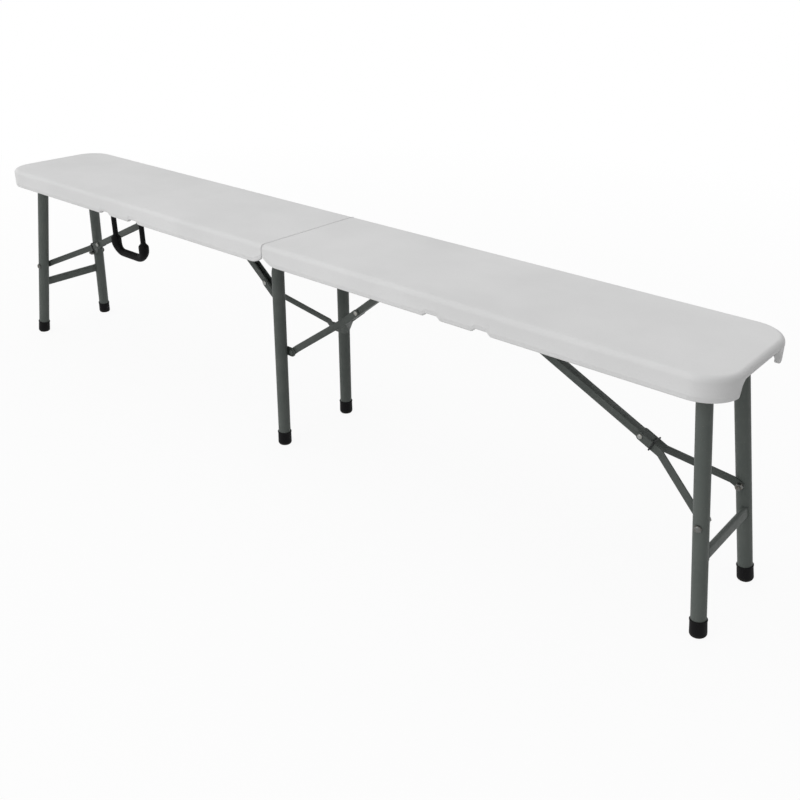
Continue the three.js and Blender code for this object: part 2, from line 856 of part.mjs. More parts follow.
// One brace of a half: its link, knee rivet and, past the knee, its arms
function endBraceParts(label, near) {
  const brace = endBrace();
  const slope = slopeOf(brace);
  const link = braceGroup(brace.anchor, slope);
  link.add(piece(`${label}_end_brace_link`, upperLink(brace.upper, endTail), paintedSteel));
  const fork = braceGroup(brace.knee, slope);
  const rivetHalf = channelWidth / 2 + runningGap + armWall + seatGap;
  fork.add(piece(`${label}_end_knee_rivet`, crossRivet(rivetHalf, true), zincSteel));
  for (const side of [near, -near]) {
    const where = side === near ? 'near' : 'far';
    fork.add(piece(`${label}_end_brace_arm_${where}`, endArm(side, brace), paintedSteel));
  }
  const clip = piece(`${label}_lock_clip`, lockClip(), paintedSteel);
  clip.position.x = endTail + clipWireRadius + runningGap;
  fork.add(clip);
  return [link, fork];
}

function middleBraceParts(label, near) {
  const brace = middleBrace();
  const slope = slopeOf(brace);
  const link = braceGroup(brace.anchor, slope);
  link.add(piece(`${label}_middle_brace_link`, upperLink(brace.upper, middleTail), paintedSteel));
  const fork = braceGroup(brace.knee, slope);
  const pin = crossRivet(channelWidth / 2 + runningGap / 4, false);
  fork.add(piece(`${label}_middle_knee_pin`, pin, zincSteel));
  for (const side of [near, -near]) {
    const where = side === near ? 'near' : 'far';
    fork.add(piece(`${label}_middle_brace_arm_${where}`, middleArm(side, brace), paintedSteel));
  }
  return [link, fork];
}

// One half of the bench with its rails, brackets, end legs and braces.
// The left half is the same assembly turned half round, so its near side is at +Y in the group.
function benchHalf(label, near, earInner) {
  const half = new THREE.Group();
  half.rotation.z = near > 0 ? Math.PI : 0;
  half.add(piece(`${label}_seat`, seatHalf(near), seatPlastic));
  for (const side of [near, -near]) {
    const where = side === near ? 'near' : 'far';
    const { top, foot } = endLegLine(side);
    half.add(piece(`${label}_rail_${where}`, sideRail(side), paintedSteel));
    half.add(piece(`${label}_end_leg_${where}`, endLeg(side), paintedSteel));
    half.add(piece(`${label}_end_cap_${where}`, footCap(top, foot), blackPlastic));
    half.add(piece(`${label}_end_bolt_${where}`, legBolt(side), zincSteel));
  }
  half.add(piece(`${label}_end_cross_tube`, endCrossTube(), paintedSteel));
  half.add(piece(`${label}_end_crossbar`, endCrossbar(), paintedSteel));
  half.add(piece(`${label}_hinge_bracket`, hingeBracket(earInner), paintedSteel));
  const endAnchor = endBrace().anchor;
  const middleAnchor = middleBrace().anchor;
  const endRest = anchorBracket(endAnchor.x, endAnchor.z, grooveRoof);
  const middleRest = anchorBracket(middleAnchor.x, middleAnchor.z, grooveRoof);
  half.add(piece(`${label}_end_brace_bracket`, endRest, paintedSteel));
  half.add(piece(`${label}_middle_brace_bracket`, middleRest, paintedSteel));
  half.add(...endBraceParts(label, near), ...middleBraceParts(label, near));
  return half;
}

// Middle leg: a tube that bends at its top into the cross tube's line
function middleLeg(side) {
  const foot = new THREE.Vector3(0, side * middleFootHalf, capFloor + seatGap);
  const top = new THREE.Vector3(0, side * middleTopHalf, foldZ);
  const inner = new THREE.Vector3(0, side * middleCrossHalf, foldZ);
  const line = roundedLine([foot, top, inner], middleElbowRadius);
  return sweep(circleShape(tubeRadius, tubeSides, tubeRadius - tubeWall), line);
}

function middleCrossTube() {
  const end = middleCrossHalf - seatGap;
  const geometry = openTube(tubeRadius, tubeRadius - tubeWall, -end, end);
  geometry.rotateX(Math.PI / 2);
  geometry.translate(0, 0, foldZ);
  return solid(geometry);
}

// Plate on a middle leg's inner side that both braces' arms are riveted to
function legPlate(side) {
  const outer = legPlateOuter();
  const reach = middleBoltOffset + legPlateEnd;
  const plate = slab(
    roundBar(-reach, reach, legPlateHeight, middleBoltHeight),
    outer - legPlateWall,
    outer,
  );
  const holes = [-1, 1].map((end) => crossRod(
    rivetRadius + runningGap,
    0,
    halfWidth,
    end * middleBoltOffset,
    middleBoltHeight,
    smallSides,
  ));
  const body = cut(plate, ...holes);
  return side > 0 ? body : body.mirror([0, 1, 0]);
}

function middleFrame() {
  const frame = new THREE.Group();
  frame.add(piece('middle_cross_tube', middleCrossTube(), paintedSteel));
  for (const side of [-1, 1]) {
    const where = side < 0 ? 'near' : 'far';
    const top = new THREE.Vector3(0, side * middleTopHalf, foldZ);
    const foot = new THREE.Vector3(0, side * middleFootHalf, 0);
    frame.add(piece(`middle_leg_${where}`, middleLeg(side), paintedSteel));
    frame.add(piece(`middle_cap_${where}`, footCap(top, foot), blackPlastic));
    frame.add(piece(`middle_leg_plate_${where}`, legPlate(side), paintedSteel));
  }
  return frame;
}

// Moulded carrying handle: two slim arms with pivot eyes, and a thick grip with round shoulders
function handleBody() {
  const pivotZ = rimBottom - handlePivotDrop;
  const y = handleInset - halfWidth;
  const outerX = handleSpan / 2;
  const gripLow = pivotZ - handleDrop + gripRadius;
  const gripTop = gripLow + gripRise;
  const arms = [-1, 1].map((end) => {
    const x = end * outerX;
    return join(
      block(
        [x - handleArmWidth / 2, y - handleArmDepth / 2, gripTop - gripRadius],
        [x + handleArmWidth / 2, y + handleArmDepth / 2, pivotZ],
      ),
      eyeBarrel(x - handleArmWidth / 2, x + handleArmWidth / 2, handleEyeRadius, y, pivotZ),
      shoulder(x, y, gripTop),
    );
  });
  const corners = [
    new THREE.Vector3(-outerX, y, gripTop),
    new THREE.Vector3(-outerX, y, gripLow),
    new THREE.Vector3(outerX, y, gripLow),
    new THREE.Vector3(outerX, y, gripTop),
  ];
  const grip = sweep(circleShape(gripRadius, smallSides), roundedLine(corners, gripCorner));
  const bore = eyeBarrel(-seatLength, seatLength, handlePinRadius + runningGap, y, pivotZ);
  return cut(join(grip, ...arms), bore);
}

function shoulder(x, y, z) {
  const geometry = new THREE.SphereGeometry(gripRadius, smallSides, smallSides / 2);
  geometry.translate(x, y, z);
  return solid(geometry);
}

// A round bar along X
function eyeBarrel(fromX, toX, radius, y, z) {
  const geometry = new THREE.CylinderGeometry(radius, radius, toX - fromX, smallSides);
  geometry.rotateZ(Math.PI / 2);
  geometry.translate((fromX + toX) / 2, y, z);
  return solid(geometry);
}

// Clevis that carries one eye of the handle, with its pin, on the inner face of the near rail
function handleClevis(x) {
  const y = handleInset - halfWidth;
  const pivotZ = rimBottom - handlePivotDrop;
  const earInner = handleArmWidth / 2 + runningGap;
  const earOuter = earInner + clevisWall;
  const plateY = seatGap - railInner;
  const top = deckUnder - seatGap;
  const plate = block(
    [x - earOuter, plateY, rimBottom + slotRise + clevisWall],
    [x + earOuter, plateY + clevisPlateWall, top],
  );
  const ears = [-1, 1].map((end) => {
    const from = end > 0 ? x + earInner : x - earOuter;
    return join(
      block(
        [from, plateY, pivotZ],
        [from + clevisWall, plateY + clevisPlateWall, rimBottom + slotRise + clevisWall * 2],
      ),
      eyeBarrel(from, from + clevisWall, clevisEarHalf, y, pivotZ),
    );
  });
  const pin = eyeBarrel(x - earOuter - seatGap, x + earOuter + seatGap, handlePinRadius, y, pivotZ);
  return join(plate, ...ears, pin);
}

function handleAssembly() {
  const group = new THREE.Group();
  const handle = piece('handle', handleBody(), blackPlastic);
  handle.position.x = -handleMiddle;
  group.add(handle);
  group.add(piece('handle_bracket_outer', handleClevis(-handleMiddle - handleSpan / 2), paintedSteel));
  group.add(piece('handle_bracket_inner', handleClevis(-handleMiddle + handleSpan / 2), paintedSteel));
  return group;
}

const bench = new THREE.Group();
bench.add(benchHalf('right', -1, hingeEarInner));
bench.add(benchHalf('left', 1, hingeEarInner - hingeEarWall - runningGap));
bench.add(middleFrame());
bench.add(handleAssembly());

export default bench;
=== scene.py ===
# Looks of the folding bench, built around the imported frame. Sizes below are millimetres and are
# turned to metres by mm(). Shapes are made for the right half, and turned half round for the left.
import math

import bmesh
import bpy
from mathutils import Matrix, Vector
from mathutils.geometry import delaunay_2d_cdt


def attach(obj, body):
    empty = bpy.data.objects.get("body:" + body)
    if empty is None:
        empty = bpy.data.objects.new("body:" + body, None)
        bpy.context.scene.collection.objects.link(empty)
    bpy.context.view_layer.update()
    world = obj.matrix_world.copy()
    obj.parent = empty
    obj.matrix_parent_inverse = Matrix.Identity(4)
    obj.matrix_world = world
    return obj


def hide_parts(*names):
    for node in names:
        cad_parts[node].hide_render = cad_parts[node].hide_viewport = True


MM = 0.001

# Seat halves
SEAT_END = 914.75
SEAT_HALF_WIDTH = 129.75
SEAT_TOP = 441.0
RIM_BOTTOM = 401.0
DECK_UNDER = 430.0
SEAT_CORNER = 60.0
TOP_EDGE = 10.0
LOW_EDGE = 4.0
INNER_EDGE = 2.0
DECK_FILLET = 3.0
RIM_WALL = 10.0
TOP_MARGIN = 24.0
UNDER_MARGIN = 14.5
PARTING_ABOVE_EDGE = 5.0
PARTING_HALF = 0.7
PARTING_PROUD = 0.25

# How much of the height that is left each rounding may take where the rim gets shallow
LOW_EDGE_SHARE = 0.9
INNER_EDGE_SHARE = 0.4
FILLET_SHARE = 0.5
PARTING_SHARE = 0.4
PARTING_HALF_SHARE = 0.3
TOP_FACE_RIM = 1.0
SEAT_MERGE = 0.004
CUT_MERGE = 0.001

# Joint between the halves
JOINT_X = 0.5
JOINT_CORNER = 2.5
JOINT_TOP_EDGE = 1.4
JOINT_TOP_MARGIN = 14.0
JOINT_WALL = 9.0
JOINT_LIP_BOTTOM = 418.0
JOINT_LOW_EDGE = 1.5
JOINT_FILLET = 2.0
JOINT_UNDER_MARGIN = 12.5
JOINT_BLEND = 60.0
NOTCH_REACH = 34.0
NOTCH_RISE = 14.0
NOTCH_PAST = 2.0
BLEND_STATION = 48.0
STATION_STEP = 40.0

# End arch and handle slots
ARCH_FLAT = 60.0
ARCH_SHOULDER = 74.0
ARCH_FOOT = 79.0
ARCH_RADIUS = 15.0
ARCH_RISE = 27.8
ARCH_FOOT_DEGREES = 12.0
SLOT_MIDDLE = 458.5
SLOT_OFFSET = 50.5
SLOT_FLAT = 10.0
SLOT_FOOT = 20.0
SLOT_RISE = 6.2

# Underside of the deck
GROOVE_HALF = 19.0
GROOVE_DRAFT = 1.0
GROOVE_ROOF = 434.0
GROOVE_START = 17.0
GROOVE_END = 843.0
PIT_RADIUS = 11.0
PIT_FLOOR_RADIUS = 6.5
PIT_LIP = 1.2
PIT_DEPTH = 5.0
PIT_ROWS = (38.0, 64.0, 90.0)
PIT_START = 96.0
PIT_SPACING = 37.0
PIT_COUNT = 20
PIT_SIDES = 20

# Steel tube and feet
TUBE_RADIUS = 12.5
TUBE_SIDES = 48
TUBE_END_GAP = 6.0
RING_SIDES = 56
FOLD_Z = 397.0
CAP_RADIUS = 14.0
CAP_TALL = 29.0
CAP_OVERHANG = 2.0
CAP_SOLE_EDGE = 6.5
# Rows of (radius, height): the lip's from the cap's radius, the mouth's from the tube's, and
# both from the cap's top
CAP_LIP = ((-0.3, -3.0), (0.3, -2.4), (0.3, -0.8), (-0.3, 0.0))
CAP_MOUTH = ((0.25, 0.0), (0.1, -0.8), (-0.6, -2.0))
MIDDLE_TOP_HALF = 90.0
MIDDLE_FOOT_HALF = 94.5
MIDDLE_ELBOW = 24.0
MIDDLE_SLEEVE_HALF = 59.7
SLEEVE_OVERLAP = 0.2
END_PIVOT_X = 857.0
END_AXIS_Z = 415.0
END_LEAN = 69.0
END_TOP_HALF = 65.6
END_FOOT_HALF = 93.8
END_BOLT_Z = 184.7
END_CROSS_HALF = 109.7
CROSSBAR_Z = 135.0
CROSSBAR_TALL = 20.0
CROSSBAR_DEEP = 9.0
CROSSBAR_OFFSET = 5.1
CROSSBAR_CORNER = 3.5
CROSSBAR_END_GAP = 4.0
CROSSBAR_WELD_SHARE = 1.04
BEAD_RADIUS = 1.5
BEAD_SPACING = 1.5
LEG_WELD_SEED = 11
CROSSBAR_WELD_SEED = 23
SLEEVE_WELD_SEED = 37

# Braces
END_ANCHOR = (385.0, 424.0)
END_KNEE = (748.1224, 253.7144)
MIDDLE_ANCHOR = (266.0, 415.0)
MIDDLE_KNEE = (111.3358, 286.9381)
MIDDLE_BOLT = (16.0, 208.0)
CHANNEL_HALF = 8.0
ARM_WALL = 2.5
RUNNING_GAP = 0.4
CLIP_WIRE = 1.4
CLIP_ALONG = 23.8
CLIP_SIDE = 12.7
CLIP_LEVEL = 8.8
CLIP_TIP = 9.1
CLIP_CORNER = 2.6
MIDDLE_ARM_TAIL = 24.0
ARM_TAB_REACH = 14.0
EAR_WALL = 2.4

# Fasteners
RIVET_RADIUS = 3.0
RIVET_HEAD_RADIUS = 4.5
RIVET_HEAD_TALL = 2.2
TAIL_HEAD_RADIUS = 4.8
PLATE_HEAD_RADIUS = 4.7
MIDDLE_HEAD_TALL = 2.4
ANCHOR_HEAD_RADIUS = 4.6
ANCHOR_HEAD_TALL = 1.5
HEAD_SUNK = 0.4
HEAD_GAP = 0.1
HEAD_OVER_ARM = 0.2
HEAD_RIM_SHARE = 0.25
HEAD_ARC = (0.15, 0.85, 6)
HEAD_SIDES = 32
SET_MARK_DEEP = 0.25
SET_MARK_SHARES = (0.16, 0.1)
BOLT_HEAD_RADIUS = 5.8
BOLT_HEAD_TALL = 3.2
PIN_SIDES = 28
WASHER_SIDES = 36
WASHER_RADIUS = 6.6
WASHER_TALL = 0.9
WASHER_SUNK = 0.2
NUT_WASHER_RADIUS = 6.2
NUT_WASHER_TALL = 0.8
NUT_ACROSS = 11.0
NUT_TALL = 6.5
NUT_SIDES = 48
NUT_FACE_SHARE = 0.98
NUT_CHAMFER_DEGREES = 30.0
NUT_THREAD_TALL = 4.5
THREAD_RADIUS = 3.0
THREAD_PITCH = 1.0
THREAD_DEPTH = 0.32
THREAD_END = 0.6
THREAD_CREST_SHARE = 0.25
THREAD_ROOT_SHARE = 0.6
SCREW_HEAD_ACROSS = 4.2
SCREW_HEAD_TALL = 1.5
SCREW_SLOT_LONG = 5.0
SCREW_SLOT_WIDE = 1.0
SCREW_SLOT_TALL = 1.6
SCREW_SEED = 5
SHEET_CLEAR = 0.3

# Handle
HANDLE_Y = -108.0
HANDLE_PIVOT_Z = 400.0
HANDLE_DROP = 98.0
HANDLE_ARM_RADIUS = 5.7
GRIP_RADIUS = 10.0
GRIP_RISE = 33.0
GRIP_LIFT = 2.5
GRIP_SIDE_SHARE = 1.12
GRIP_BAR_SHARE = 0.86
GRIP_CORNER = 24.0
GRIP_SWELL_RISE = 22.0
SHOULDER_ABOVE = 6.0
SHOULDER_TALL = 9.0
HANDLE_ARM_END = 3.0
HANDLE_MERGE = 0.002
HANDLE_SIDES = 40
EYE_RADIUS = 5.8
EYE_HALF = 6.5
EYE_BORE = 3.0
EYE_EDGE = 0.6

# Softened edges of the sheet steel
SHEET_EDGE = 0.35
SHEET_MERGE = 0.01
SHEET_FLAT_DEGREES = 0.6
SHEET_CORNER_DEGREES = 35.0
SHARP_DEGREES = 32.0

# Floor and light. These are metres and watts
FLOOR_SIZE = 80.0
FLOOR_GREY = 0.76
FLOOR_WHITE_FROM = (0.8, 0.92)
FLOOR_WHITE_TO = (3.0, 1.0)
BRIGHT_SIDE = (-1.0, -0.15, 0.1)
SKY_LEVELS = (0.07, 1.4)
LAMPS = (
    ("front lamp", (-0.15, -2.1, 1.1), (-0.1, 0.0, 0.4), 1.8, 9.5),
    ("top lamp", (0.4, -0.2, 3.0), (0.2, 0.0, 0.4), 2.4, 6.0),
)

# Camera that the photograph was taken with. Its angles are radians and its clip is metres
CAMERA_PLACE = (1299.344, -1272.094, 987.668)
CAMERA_AZIMUTH = 0.688
CAMERA_ELEVATION = 0.472
CAMERA_ROLL = 0.014
CAMERA_FOCAL_PIXELS = 942.156
CAMERA_MIDDLE = (406.765, 401.087)
CAMERA_CLIP = 50.0
FRAME_PIXELS = 800.0
SENSOR = 36.0

HALVES = {"right": Matrix.Identity(4), "left": Matrix.Rotation(math.pi, 4, "Z")}


def mm(*values):
    """Millimetres as metres: a number, or a vector for three of them."""
    if len(values) == 1:
        return values[0] * MM
    return Vector(value * MM for value in values)


def near_far(label):
    """A half's near and far side, as they lie before it is turned into its place."""
    near = -1.0 if label == "right" else 1.0
    return (near, "near"), (-near, "far")


def mix(a, b, share):
    return a + (b - a) * share


def eased(share):
    """A share from 0 to 1 that starts and ends gently."""
    held = min(max(share, 0.0), 1.0)
    return held * held * (3.0 - 2.0 * held)


def steps(start, end, count):
    return [mix(start, end, index / count) for index in range(count + 1)]


def polar(radius, angle):
    return radius * math.cos(angle), radius * math.sin(angle)


# Deck screws through the rails and the hinge plate: their places along X, how far out they are,
# and how thick the sheet is
SCREW_ROWS = ((steps(70.0, 800.0, 6), 113.0, 1.6), ((22.0, 56.0), 38.0, 2.6))


# Materials


def linear(code):
    """An sRGB hex colour as the linear colour that the shader takes."""
    channels = [int(code[at:at + 2], 16) / 255.0 for at in (1, 3, 5)]
    turned_linear = [c / 12.92 if c <= 0.04045 else ((c + 0.055) / 1.055) ** 2.4 for c in channels]
    return (*turned_linear, 1.0)


def add_node(tree, kind, sockets=None, **settings):
    """A new node with its settings, and its sockets set or linked. A node that is given for a
    socket is linked by its first output."""
    made = tree.nodes.new(kind)
    for key, value in settings.items():
        setattr(made, key, value)
    for key, value in (sockets or {}).items():
        if isinstance(value, bpy.types.Node):
            value = value.outputs[0]
        if isinstance(value, bpy.types.NodeSocket):
            tree.links.new(value, made.inputs[key])
        else:
            made.inputs[key].default_value = value
    return made


def new_material(name, metallic, roughness, ior=1.5, shine=0.5):
    material = bpy.data.materials.new(name)
    material.use_nodes = True
    tree = material.node_tree
    shader = tree.nodes["Principled BSDF"]
    shader.inputs["Metallic"].default_value = metallic
    shader.inputs["Roughness"].default_value = roughness
    shader.inputs["IOR"].default_value = ior
    shader.inputs["Specular IOR Level"].default_value = shine
    place = add_node(tree, "ShaderNodeTexCoord").outputs["Object"]
    return material, tree, shader, place


def cells(place, size, detail=2.0, rough=0.5):
    """A noise pattern's sockets, from the real size of its cells in millimetres."""
    return {"Vector": place, "Scale": 1000.0 / size, "Detail": detail, "Roughness": rough}


def patches(tree, pattern, span, levels=(0.0, 1.0)):
    """Soft patches of a noise pattern, which run between two levels over a span of it."""
    noise = add_node(tree, "ShaderNodeTexNoise", pattern)
    sockets = {0: noise, 1: span[0], 2: span[1], 3: levels[0], 4: levels[1]}
    return add_node(tree, "ShaderNodeMapRange", sockets)


def paint(tree, shader, ground, *coats):
    """The base colour: a ground colour with coats over it, each one as thick as its share."""
    colour = linear(ground)
    for share, coat in coats:
        sockets = {0: share, 6: colour, 7: linear(coat)}
        colour = add_node(tree, "ShaderNodeMix", sockets, data_type="RGBA").outputs[2]
    tree.links.new(colour, shader.inputs["Base Color"])


def finish(tree, shader, gloss, *reliefs):
    """The surface: its roughness, where it varies, and its relief. Each layer of relief is a
    strength, a depth in millimetres and the node of its height."""
    if gloss:
        tree.links.new(gloss.outputs[0], shader.inputs["Roughness"])
    under = {}
    for strength, depth, height in reliefs:
        sockets = {"Strength": strength, "Distance": mm(depth), "Height": height, **under}
        under = {"Normal": add_node(tree, "ShaderNodeBump", sockets)}
    tree.links.new(under["Normal"].outputs[0], shader.inputs["Normal"])


def moulded_polyethylene():
    """Blow-moulded pale grey polyethylene. It gives a soft, slightly waxy satin with a fine pebbled
    grain from the mould, a faint cloudiness, and a trace of dust on the rim's lower edge. The real
    grain is about 1 mm, and it is drawn at 2.4 mm so that it can show."""
    material, tree, shader, place = new_material("moulded polyethylene", 0.0, 0.55, 1.51, 0.35)
    cloud = patches(tree, cells(place, 190.0, 3.0), (0.35, 0.65))
    fleck = patches(tree, cells(place, 3.2), (0.56, 0.74), (0.0, 0.22))
    height = add_node(tree, "ShaderNodeSeparateXYZ", {0: place}).outputs["Z"]
    low_down = {0: height, 1: mm(404.0), 2: mm(400.5), 4: 0.3}
    dust = add_node(tree, "ShaderNodeMapRange", low_down)
    paint(tree, shader, "#d2d2d2", (cloud, "#d8d8d8"), (fleck, "#cbcbcb"), (dust, "#bdbcb6"))
    worn = patches(tree, cells(place, 60.0, 4.0, 0.6), (0.3, 0.7), (0.5, 0.62))
    grain = {"Vector": place, "Scale": 1000.0 / 2.4, "Smoothness": 0.6}
    pebble = add_node(tree, "ShaderNodeTexVoronoi", grain, feature="SMOOTH_F1")
    ripple = add_node(tree, "ShaderNodeTexNoise", cells(place, 70.0))
    finish(tree, shader, worn, (0.5, 0.12, pebble), (0.4, 0.5, ripple))
    return material


def powder_coated_steel():
    """Mild steel under a dark green-grey powder coat. It gives a satin with a fine orange peel, a
    few pale flecks in the coat, and edges rubbed a little lighter. The peel and the flecks are
    drawn about twice their real size so that they can show."""
    material, tree, shader, place = new_material("powder-coated steel", 0.0, 0.52, 1.52, 0.2)
    drift = patches(tree, cells(place, 45.0, 3.0), (0.35, 0.65))
    fleck = patches(tree, cells(place, 1.7), (0.66, 0.74), (0.0, 0.6))
    tip = add_node(tree, "ShaderNodeNewGeometry").outputs["Pointiness"]
    rubbed = add_node(tree, "ShaderNodeMapRange", {0: tip, 1: 0.53, 2: 0.6, 4: 0.45})
    paint(tree, shader, "#474c49", (drift, "#4f5350"), (fleck, "#6e7471"), (rubbed, "#656b67"))
    satin = patches(tree, cells(place, 9.0, 3.0), (0.3, 0.7), (0.46, 0.58))
    peel = add_node(tree, "ShaderNodeTexNoise", cells(place, 1.8, 1.0))
    finish(tree, shader, satin, (0.5, 0.12, peel))
    return material


def moulded_black_plastic():
    """Injection-moulded black plastic. It gives a deep satin with a fine spark-eroded grain and a
    faint grey bloom."""
    material, tree, shader, place = new_material("moulded black plastic", 0.0, 0.58, 1.5, 0.08)
    bloom = patches(tree, cells(place, 12.0, 4.0, 0.6), (0.4, 0.7))
    paint(tree, shader, "#0b0b0c", (bloom, "#131314"))
    satin = patches(tree, cells(place, 6.0, 3.0), (0.3, 0.7), (0.5, 0.66))
    grain = add_node(tree, "ShaderNodeTexNoise", cells(place, 0.9))
    finish(tree, shader, satin, (0.5, 0.08, grain))
    return material


def foot_rubber():
    """Black moulded rubber of the foot caps: duller than the handle, and dusty where it meets the
    floor."""
    material, tree, shader, place = new_material("moulded black rubber", 0.0, 0.62, 1.5, 0.1)
    height = add_node(tree, "ShaderNodeSeparateXYZ", {0: place}).outputs["Z"]
    speck = patches(tree, cells(place, 2.6, 4.0, 0.65), (0.4, 0.7), (0.3, 1.0))
    near_floor = add_node(
        tree, "ShaderNodeMapRange", {0: height, 1: mm(7.0), 2: mm(0.2), 4: 0.55}
    )
    dust = add_node(tree, "ShaderNodeMath", {0: speck, 1: near_floor}, operation="MULTIPLY")
    paint(tree, shader, "#101011", (dust, "#4a4743"))
    grain = add_node(tree, "ShaderNodeTexNoise", cells(place, 1.1, 3.0))
    finish(tree, shader, None, (0.6, 0.1, grain))
    return material


def zinc_plate(name, bright, tinted):
    """Zinc plate on steel fasteners. It gives a silvery metal with a slight warm tint in places and
    fine turning marks. The rivets keep a paler zinc. The bolts and nuts get a darker grey copy of
    it, which is painted shade for the dark surroundings they reflect and the shade they sit in."""
    material, tree, shader, place = new_material(name, 1.0, 0.3)
    tint = patches(tree, cells(place, 4.0, 3.0), (0.4, 0.65))
    paint(tree, shader, bright, (tint, tinted))
    worn = patches(tree, cells(place, 1.5, 3.0), (0.3, 0.7), (0.26, 0.5))
    marks = add_node(tree, "ShaderNodeTexNoise", cells(place, 0.7))
    finish(tree, shader, worn, (0.4, 0.05, marks))
    return material


def blackened_wire():
    """Oil-blackened spring wire of the lock clips: near black, with a dull metal shine where it
    rubs."""
    material, tree, shader, place = new_material("blackened spring wire", 0.6, 0.45)
    rub = patches(tree, cells(place, 3.0, 4.0, 0.6), (0.45, 0.7))
    paint(tree, shader, "#1b1c1d", (rub, "#3a3b3c"))
    drawn = add_node(tree, "ShaderNodeTexNoise", cells(place, 0.8))
    finish(tree, shader, None, (0.4, 0.05, drawn))
    return material


# Building meshes


def mesh_from(build, name, turn_out=True):
    """A mesh from a bmesh, with smooth faces and sharp edges where two faces meet at an angle."""
    if turn_out:
        bmesh.ops.recalc_face_normals(build, faces=build.faces)
    for face in build.faces:
        face.smooth = True
    for edge in build.edges:
        angle = edge.calc_face_angle(0.0)
        edge.smooth = len(edge.link_faces) == 2 and angle < math.radians(SHARP_DEGREES)
    mesh = bpy.data.meshes.new(name)
    build.to_mesh(mesh)
    build.free()
    return mesh


def add_object(name, data):
    made = bpy.data.objects.new(name, data)
    bpy.context.scene.collection.objects.link(made)
    return made


def show(name, mesh, material, body, replaced=(), turn=None):
    """Puts a finished mesh in the scene as a piece that rides on a body."""
    if turn is not None:
        mesh.transform(turn)
    if not mesh.materials:
        mesh.materials.append(material)
    piece = add_object(name, mesh)
    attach(piece, body)
    if replaced:
        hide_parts(*replaced)


def skin(build, rings):
    """Faces between rings of vertices: closed loops of one count, or a single point."""
    for low, high in zip(rings, rings[1:]):
        count = max(len(low), len(high))
        for at in range(count):
            after = (at + 1) % count
            corners = ((low, at), (low, after), (high, after), (high, at))
            found = dict.fromkeys(ring[index % len(ring)] for ring, index in corners)
            build.faces.new(list(found))


def axis_turn(start, end):
    """A matrix that takes the Z axis at the origin to a line between two points."""
    rotation = Vector((0, 0, 1)).rotation_difference(end - start).to_matrix().to_4x4()
    return Matrix.Translation(start) @ rotation


def circle(radius, height, sides):
    """Points round the Z axis, or the one point on it."""
    if radius <= 0.0:
        return [mm(0.0, 0.0, height)]
    angles = (2.0 * math.pi * side / sides for side in range(sides))
    return [mm(*polar(radius, angle), height) for angle in angles]


def turned(build, profile, place, sides):
    """A solid of revolution about Z from (radius, height) pairs, moved to a place."""
    rings = []
    for radius, height in profile:
        rings.append([build.verts.new(place @ point) for point in circle(radius, height, sides)])
    skin(build, rings)


def rounded_line(corners, radius, count=10):
    """Corner points replaced by arcs of one radius."""
    points = [corners[0].copy()]
    for before, corner, after in zip(corners, corners[1:], corners[2:]):
        back = (before - corner).normalized()
        ahead = (after - corner).normalized()
        half_angle = back.angle(ahead) / 2.0
        setback = radius / math.tan(half_angle)
        centre = corner + (back + ahead).normalized() * (radius / math.sin(half_angle))
        start = corner + back * setback - centre
        end = corner + ahead * setback - centre
        turn = start.rotation_difference(end)
        axis, angle = turn.to_axis_angle()
        for at in steps(0.0, angle, count):
            points.append(Matrix.Rotation(at, 3, axis) @ start + centre)
    points.append(corners[-1].copy())
    return points


def line_mesh(points, thickness=None, closed=False):
    """A mesh line that a geometry tree turns into a tube or a row of pieces."""
    edges = [(at, at + 1) for at in range(len(points) - 1)]
    if closed:
        edges.append((len(points) - 1, 0))
    mesh = bpy.data.meshes.new("line")
    mesh.from_pydata([tuple(point) for point in points], edges, [])
    if thickness is not None:
        shares = mesh.attributes.new("thickness", "FLOAT", "POINT")
        shares.data.foreach_set("value", thickness)
    return mesh


# Geometry trees


def new_tree(name, inputs):
    """A geometry tree with named inputs, a material among them, and one geometry out."""
    tree = bpy.data.node_groups.new(name, "GeometryNodeTree")
    for label, kind in {**inputs, "Material": "Material"}.items():
        tree.interface.new_socket(label, in_out="INPUT", socket_type=f"NodeSocket{kind}")
    tree.interface.new_socket("Result", in_out="OUTPUT", socket_type="NodeSocketGeometry")
    return tree, add_node(tree, "NodeGroupInput").outputs


def close_tree(tree, geometry, material):
    """The tree's end: real geometry, smooth, with its material."""
    real = add_node(tree, "GeometryNodeRealizeInstances", {"Geometry": geometry})
    smooth = add_node(tree, "GeometryNodeSetShadeSmooth", {"Geometry": real})
    painted = add_node(
        tree, "GeometryNodeSetMaterial", {"Geometry": smooth, "Material": material}
    )
    add_node(tree, "NodeGroupOutput", {"Result": painted})
    return tree


def tube_tree():
    """A round bar of a radius that follows a line, thicker or thinner by each point's thickness."""
    inputs = {"Line": "Geometry", "Radius": "Float", "Sides": "Int"}
    tree, given = new_tree("tube on a line", inputs)
    curve = add_node(tree, "GeometryNodeMeshToCurve", {"Mesh": given["Line"]})
    share = add_node(
        tree, "GeometryNodeInputNamedAttribute", {"Name": "thickness"}, data_type="FLOAT"
    ).outputs["Attribute"]
    sized = add_node(tree, "GeometryNodeSetCurveRadius", {"Curve": curve, "Radius": share})
    section = {"Resolution": given["Sides"], "Radius": given["Radius"]}
    ring = add_node(tree, "GeometryNodeCurvePrimitiveCircle", section)
    swept = {"Curve": sized, "Profile Curve": ring, "Fill Caps": True}
    bar = add_node(tree, "GeometryNodeCurveToMesh", swept)
    if "Scale" in bar.inputs:
        tree.links.new(share, bar.inputs["Scale"])
    return close_tree(tree, bar, given["Material"])


